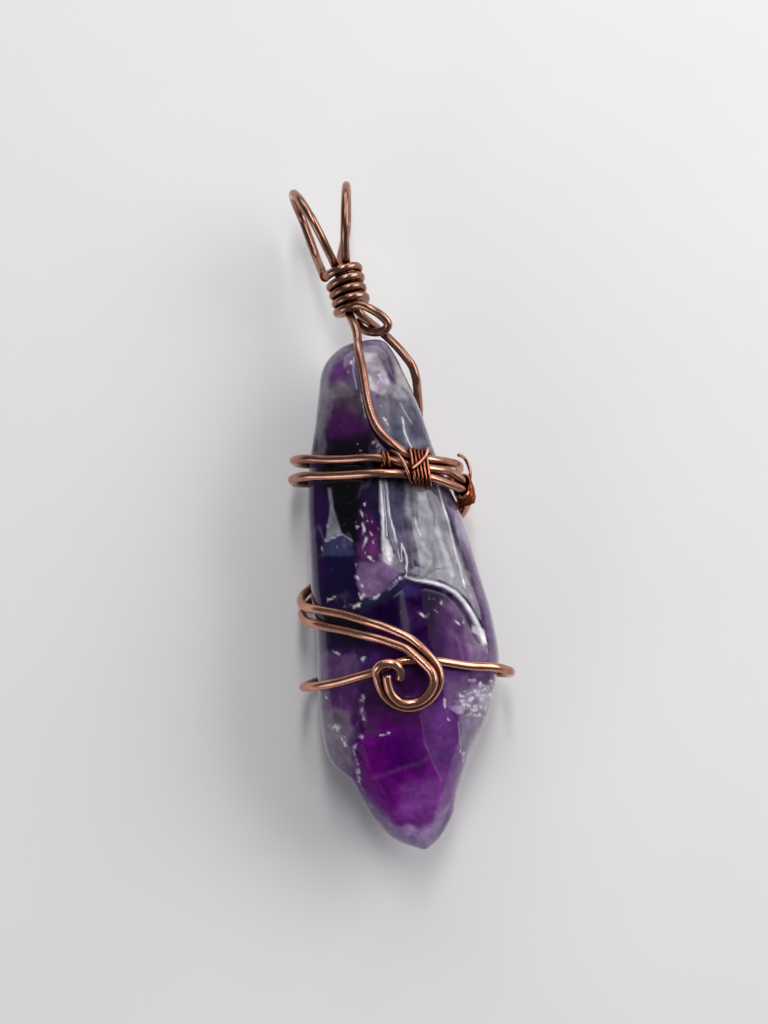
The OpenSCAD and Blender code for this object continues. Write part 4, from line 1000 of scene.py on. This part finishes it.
class Nodes:
    """A new material's nodes. Each method adds one node and gives its output, and surface() sets the shader."""

    def __init__(self, name):
        self.material = bpy.data.materials.new(name)
        self.material.use_nodes = True
        self.tree = self.material.node_tree
        self.where = self.add("TexCoord", {}, "Object")

    def fill(self, node, inputs):
        """Links each input to a socket, or sets a plain value on it."""
        for key, value in inputs.items():
            if isinstance(value, bpy.types.NodeSocket):
                self.tree.links.new(value, node.inputs[key])
            else:
                node.inputs[key].default_value = value

    def add(self, kind, inputs, output=0, **settings):
        """Any node, by the name of its kind."""
        node = self.tree.nodes.new("ShaderNode" + kind)
        for key, value in settings.items():
            setattr(node, key, value)
        self.fill(node, inputs)
        return node.outputs[output]

    def surface(self, inputs):
        """Sets or links the inputs of the material's own shader."""
        self.fill(self.tree.nodes["Principled BSDF"], inputs)
        return self.material

    def painted(self, name, output="Fac"):
        """A number or colour that was painted on the mesh."""
        return self.add("Attribute", {}, output, attribute_name=name)

    def cloud(self, scale, detail, roughness=0.5, where=None):
        """Noise from 0 to 1, its cells one over the scale wide."""
        place = self.where if where is None else where
        return self.add("TexNoise", {"Vector": place, "Scale": scale, "Detail": detail, "Roughness": roughness})

    def remap(self, value, low, high, to_low=0.0, to_high=1.0):
        """Low to high becomes to_low to to_high, and it stops at both."""
        return self.add("MapRange", {"Value": value, "From Min": low, "From Max": high, "To Min": to_low,
                                     "To Max": to_high})

    def mix(self, factor, a, b, mode="MIX"):
        """A colour mix of two sockets or colours."""
        return self.add("Mix", {0: factor, 6: a, 7: b}, 2, data_type="RGBA", blend_type=mode)


def amethyst():
    """The painted tint times a haze, with pale motes, under a clear coat."""
    nodes = Nodes("polished amethyst")
    polish = nodes.painted("polish")
    haze = nodes.remap(nodes.cloud(900.0, 6.0, 0.6), 0.3, 0.7, 0.68, 1.36)
    colour = nodes.mix(1.0, nodes.painted("tint", "Color"), haze, "MULTIPLY")
    motes = nodes.remap(nodes.cloud(3400.0, 2.0), 0.68, 0.84, 0.0, 0.22)
    scratches = nodes.cloud(2600.0, 4.0)
    return nodes.surface({
        "Base Color": nodes.mix(motes, colour, (0.42, 0.38, 0.48, 1)),
        "Roughness": nodes.remap(nodes.painted("frost"), 0.0, 1.0, 0.16, 0.55),
        "Normal": nodes.add("Bump", {"Height": scratches, "Strength": 0.05, "Distance": 0.0001}),
        "Specular IOR Level": nodes.remap(polish, 0.0, 1.0, 0.02, 0.1), "IOR": 1.54,
        "Coat Weight": polish, "Coat Roughness": 0.03, "Coat IOR": 1.38})


stone.data.materials.append(amethyst())
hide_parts("crystal")
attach(stone, "root")

# %% [markdown]
# ## Wire
#
# A wire is a circle carried along its route. To keep the circle from twisting, its first direction is handed from
# point to point and squared up each time. Hand-bent wire is never quite round: pliers leave flats and small nicks,
# so the radius changes a little along the way. Ends are nipped off and filed, so the last rings draw in.

# %% A round wire along a route
WIRE_SIDES, FINE_SIDES, WIRE_STOPS, FINE_STOPS = 18, 10, 5, 4
WAVER, WAVER_LENGTH, OVAL, OVAL_LENGTH = 0.012, 1.7, 0.008, 5.0
NICK_SPACING, NICK_LENGTHS, NICK_DEPTHS, NICK_TURN = 7.0, (0.15, 0.5), (0.008, 0.02), 0.7
END_RINGS = ((0.93, 0.03), (0.72, 0.10))


def finer(path, stops):
    """The same route with more points, as a smooth curve through the first ones."""
    return through(path, np.full(len(path) - 1, stops))


def eased(path, times):
    """The same route with the small jumps of its curvature evened out: each inner point becomes the mean of itself
    and its four neighbours, weighted 6, 4 and 1. The two points at each end stay."""
    for _ in range(times):
        inner = (path[:-4] + 4 * path[1:-3] + 6 * path[2:-2] + 4 * path[3:-1] + path[4:]) / 16
        path = np.vstack([path[:2], inner, path[-2:]])
    return path


def carried(path):
    """Two directions across a route at each point, the first handed along without twist."""
    h = heading(path)
    first = np.array([0.0, 0, 1]) if abs(h[0, 2]) < 0.8 else np.array([1.0, 0, 0])
    u = np.empty_like(path)
    for i, direction in enumerate(h):
        first = level(first, direction)
        u[i] = first
    return u, np.cross(h, u)


def run_of(path):
    """Length along a route up to each of its points."""
    return np.r_[0, np.cumsum(gaps_along(path))]


def wire(name, path, diameter, sides, seed, blunt):
    """A tube: centre plus radius times cosine and sine of the turn along the two directions across. The radius
    wavers, loses a little at seeded nicks and draws in over the last rings of a blunt end. Each of those rings is a
    share of the radius and how far it stands past the end, in wires."""
    rng = np.random.default_rng(seed)
    h = heading(path)
    u, v = carried(path)
    s = run_of(path)
    turn = 2 * np.pi * np.arange(sides) / sides
    radius = np.full((len(path), sides), diameter / 2)
    radius *= (1 + WAVER * np.sin(s / WAVER_LENGTH + rng.uniform(0, 6))[:, None]
               + OVAL * np.sin(2 * turn + s[:, None] / OVAL_LENGTH))
    for _ in range(int(s[-1] / NICK_SPACING)):
        at, facing, size = rng.uniform(0, s[-1]), rng.uniform(0, 2 * np.pi), rng.uniform(*NICK_LENGTHS)
        off = np.angle(np.exp(1j * (turn - facing)))
        nick = np.exp(-((s[:, None] - at) / size) ** 2 - (off / NICK_TURN) ** 2)
        radius -= diameter * rng.uniform(*NICK_DEPTHS) * nick
    out = np.cos(turn)[:, None] * u[:, None] + np.sin(turn)[:, None] * v[:, None]
    rings = path[:, None] + radius[..., None] * out
    start, end = [[path[i] + way * h[i] * diameter * d + k * (rings[i] - path[i]) for k, d in END_RINGS if is_blunt]
                  for i, way, is_blunt in ((0, -1, blunt[0]), (-1, 1, blunt[1]))]
    rings = np.concatenate([np.reshape(start[::-1], (-1, sides, 3)), rings, np.reshape(end, (-1, sides, 3))])
    rings = np.clip(rings, LOW_CORNER, HIGH_CORNER)
    n = len(rings)
    s = np.interp(np.arange(n) - len(start), np.arange(len(s)), s)
    caps = [np.arange(sides)[::-1], (n - 1) * sides + np.arange(sides)]
    piece = make_mesh(name, rings.reshape(-1, 3), grid_faces(n, sides), caps)
    paint(piece, "length", np.repeat(s, sides))
    paint(piece, "turn", np.tile(turn / (2 * np.pi), n))
    return piece, rings


print("One millimetre of main wire has", round(WIRE_STOPS / STEP * WIRE_SIDES), "points round and along it")

# %% [markdown]
# ## Copper
#
# Bare copper wire that has been worn darkens to a rose brown, and here it is darker towards the neck. It stays
# bright in patches, where it rubs. Where two wires touch, its colour is painted warmer, a painted reflection of the
# copper beside it, it loses its sheen, and it goes nearly black, painted shade in the narrow gap together with
# tarnish.
# That closeness is worked out once for each point and stored, so the shader can use it. Long faint lines along the
# wire come from the die it was drawn through.

# %% Copper material
# The first colour warms the copper where wires lie close: a painted reflection of copper in copper.
CLOSE_REFLECTION_TINT, EDGE_GLOW = (0.75, 0.46, 0.34, 1), (0.85, 0.45, 0.34, 1)


def copper(name, bright, aged, shade_tarnish_colour, streak):
    """Bright mixed with aged by a cloud, darker towards the neck; near other wires a painted reflection warms it, then
    painted shade and tarnish darken it.
    """
    nodes = Nodes(name)
    close = nodes.painted("close")
    patina, mottle = nodes.cloud(380.0, 3.0), nodes.cloud(2400.0, 4.0)
    colour = nodes.mix(nodes.remap(patina, 0.36, 0.70), bright, aged)
    crownward = nodes.add("SeparateXYZ", {"Vector": nodes.where}, "Y")
    colour = nodes.mix(1.0, colour, nodes.remap(crownward, -0.004, 0.016, 1.0, 0.58), "MULTIPLY")
    copper_reflection = nodes.mix(nodes.remap(close, 0.0, 0.7), (1, 1, 1, 1), CLOSE_REFLECTION_TINT)
    colour = nodes.mix(1.0, colour, copper_reflection, "MULTIPLY")
    # Painted shade and tarnish: near-black where the wire lies close to another.
    gap_shade_amount = nodes.add("Math", {0: close, 1: mottle, 2: -0.12}, operation="MULTIPLY_ADD")
    lines = nodes.add("CombineXYZ", {"X": nodes.painted("length"), "Y": nodes.painted("turn")})
    drawn = nodes.add("Mapping", {"Vector": lines, "Scale": (0.5, streak, 1.0)})
    grooves = nodes.add("Bump", {"Height": nodes.cloud(1.0, 3.0, where=drawn), "Strength": 0.12, "Distance": 0.00002})
    return nodes.surface({
        "Base Color": nodes.mix(nodes.remap(gap_shade_amount, 0.0, 0.42), colour, shade_tarnish_colour),
        "Normal": nodes.add("Bump", {"Height": mottle, "Strength": 0.03, "Distance": 0.00002, "Normal": grooves}),
        "Roughness": nodes.remap(patina, 0.3, 0.7, 0.21, 0.32), "Metallic": 1.0, "Specular Tint": EDGE_GLOW,
        "Coat Weight": nodes.remap(close, 0.0, 0.6, 0.9, 0.0), "Coat Roughness": 0.16})


MAIN_COPPER = copper("aged copper", (0.64, 0.31, 0.21, 1), (0.34, 0.135, 0.085, 1), (0.035, 0.005, 0.003, 1), 34.0)
FINE_COPPER = copper("fine copper", (0.70, 0.34, 0.23, 1), (0.38, 0.15, 0.095, 1), (0.04, 0.006, 0.003, 1), 16.0)

# %% [markdown]
# The routes are joined from few rows, so their bends have small jumps. Before a wire is made, its route gets more
# points and is eased: a little for the cage, more for the smooth loops of the bail, least for the fine wire. A wire
# that goes on as the next piece has no blunt end there.

# %% Bend all the wires
PIECES = {
    "left_loop": ("left_bail_loop", True, False), "right_loop": ("right_bail_loop", True, True),
    "neck_coil": ("neck_coil_and_eye", False, True), "wrap_wire": ("crown_and_lower_band_wire", True, False),
    "side_wire": ("shoulder_and_upper_band_wire", True, False), "outer_swirl": ("outer_swirl_wire", False, True),
    "inner_swirl": ("inner_swirl_wire", False, True), "cross_wire": ("cross_wire_loop", True, True),
    "front_binding": ("front_binding_wire", True, True), "side_binding": ("side_binding_wire", True, True)}
LOOP_EASING, CAGE_EASING, FINE_EASING, FIRST_SEED = 8, 3, 1, 20


def diameter_of(name):
    """Thickness of a solid's wire: fine for the two bindings."""
    return FINE if name.endswith("binding") else WIRE


dressed = {}
for number, (name, route) in enumerate(ROUTES.items()):
    new_name, *blunt = PIECES[name]
    fine = diameter_of(name) == FINE
    easing = FINE_EASING if fine else LOOP_EASING if name.endswith("loop") else CAGE_EASING
    path = eased(finer(route, FINE_STOPS if fine else WIRE_STOPS), easing)
    if not blunt[1]:
        path = np.vstack([path, path[-1] + PLAY * heading(path)[-1]])
    sides = FINE_SIDES if fine else WIRE_SIDES
    piece, rings = wire(new_name, path, diameter_of(name), sides, FIRST_SEED + number, blunt)
    piece.data.materials.append(FINE_COPPER if fine else MAIN_COPPER)
    dressed[name] = (piece, path, rings.reshape(-1, 3))
    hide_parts(name)
    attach(piece, "root")
    print(f"{piece.name}: {len(piece.data.polygons)} faces")

# %% [markdown]
# How close a point of a wire is to its neighbours is the distance from it to the nearest other route, less that
# wire's own half thickness. On a coil the nearest neighbour is the same wire a turn later, so each route is also
# measured against its own far stretches.

# %% Mark where wires lie close to each other
CLOSE_GAP, OWN_STRETCH, FAR, BATCH = 0.42, 2.4, 9.0, 2000
counts = [len(path) for piece, path, points in dressed.values()]
centres = np.vstack([path for piece, path, points in dressed.values()])
at = np.concatenate([run_of(path) for piece, path, points in dressed.values()])
owner = np.repeat(np.arange(len(dressed)), counts)
thick = np.repeat([diameter_of(name) / 2 for name in dressed], counts)
for number, (name, (piece, path, points)) in enumerate(dressed.items()):
    length = np.empty(len(points))
    piece.data.attributes["length"].data.foreach_get("value", length)
    stretch = OWN_STRETCH * diameter_of(name)
    gap = np.full(len(points), FAR)
    for start in range(0, len(points), BATCH):
        part = slice(start, start + BATCH)
        far = np.linalg.norm(points[part, None] - centres[None], axis=2) - thick
        same = (owner == number) & (np.abs(at[None] - length[part, None]) < stretch)
        gap[part] = np.where(same, FAR, far).min(1)
    close = 1 - ease(0.0, CLOSE_GAP, gap)
    paint(piece, "close", close)
    print(f"{piece.name}: {100 * close.mean():.0f}% of its points lie close to another wire")

# %% [markdown]
# ## Table, light and camera
#
# The pendant lies on a plain pale surface under soft light from a window on the right and a farther one behind the
# crown. A narrow bright strip stands high above, and a weak panel on the left fills the shadows. Polished stone and
# metal show what is around them, so the long soft panels matter more than their strength: they make the long
# highlights on the wires and the pale sheen on the stone's right face.

# %% Table


def table():
    """A square sheet at height zero, just under the pendant's lowest wire."""
    half_side = 1500.0
    corners = np.array([[-1, -1, 0], [1, -1, 0], [1, 1, 0], [-1, 1, 0]], float) * half_side
    floor = make_mesh("table", corners, np.array([[0, 1, 2, 3]]))
    nodes = Nodes("pale table")
    fibre = nodes.mix(nodes.cloud(60.0, 5.0), (0.86, 0.86, 0.87, 1), (0.90, 0.90, 0.90, 1))
    floor.data.materials.append(nodes.surface({"Base Color": fibre, "Roughness": 0.9}))


table()

# %% Lights


def placed(name, data, right, back, place):
    """A lamp or camera at a place in millimetres, its right and back directions given."""
    thing = bpy.data.objects.new(name, data)
    axes = np.eye(4)
    axes[:3] = np.stack([right, np.cross(back, right), back, place * MM], 1)
    thing.matrix_world = Matrix(axes.tolist())
    bpy.context.scene.collection.objects.link(thing)
    return thing


def panel(name, turn, elevation, size, radiance, colour=(1, 1, 1)):
    """A soft rectangular light that faces the stone from a turn round the table and an elevation above it. Its
    power is its radiance times its area times pi."""
    back = np.array([cosd(turn) * cosd(elevation), sind(turn) * cosd(elevation), sind(elevation)])
    light = bpy.data.lights.new(name, "AREA")
    light.shape = "RECTANGLE"
    light.size, light.size_y = size[0] * MM, size[1] * MM
    light.energy = radiance * light.size * light.size_y * np.pi
    light.color = colour
    placed(name, light, unit(np.cross([0.0, 0, 1], back)), back, PANEL_DISTANCE * back + PANEL_AIM)
    print(f"{name}: {light.energy:.2f} W")


PANEL_DISTANCE, PANEL_AIM = 400.0, np.array([0, 0, 6.0])
ROOM_LIGHT = 0.11
panel("window", 14, 30, (390, 250), 3.9, (1.0, 0.985, 0.965))
panel("far window", 84, 27, (400, 180), 2.4, (0.98, 0.985, 1.0))
panel("bright strip", 84, 65, (46, 250), 13.0, (1.0, 0.985, 0.97))
panel("fill", 211, 23, (250, 200), 2.1, (0.96, 0.97, 1.0))
world = bpy.data.worlds.new("soft room")
world.use_nodes = True
room = world.node_tree.nodes["Background"]
room.inputs["Color"].default_value, room.inputs["Strength"].default_value = (0.96, 0.97, 1.0, 1), ROOM_LIGHT
bpy.context.scene.world = world
bpy.context.scene.view_settings.view_transform = "Standard"

# %% Camera
TURN_ROUND, ELEVATION, DISTANCE = -6.0, 80.0, 180.0
TARGET = np.array([-0.387, -0.654, 7.0])
FOCAL_PIXELS, PICTURE_HEIGHT, SENSOR = 2000.0, 1024.0, 36.0


def look():
    """The camera stands back from its target by the distance, along a turn about the upright and an elevation."""
    c, s = cosd(TURN_ROUND), sind(TURN_ROUND)
    back = np.array([s * cosd(ELEVATION), -c * cosd(ELEVATION), sind(ELEVATION)])
    right = np.array([c, s, 0.0])
    data = bpy.data.cameras.new("camera")
    data.sensor_fit = "VERTICAL"
    data.sensor_height = SENSOR
    data.lens = FOCAL_PIXELS / PICTURE_HEIGHT * SENSOR
    data.clip_start = 0.005
    bpy.context.scene.camera = placed("camera", data, right, back, TARGET + DISTANCE * back)
    print("Lens:", round(data.lens, 1), "mm")


look()
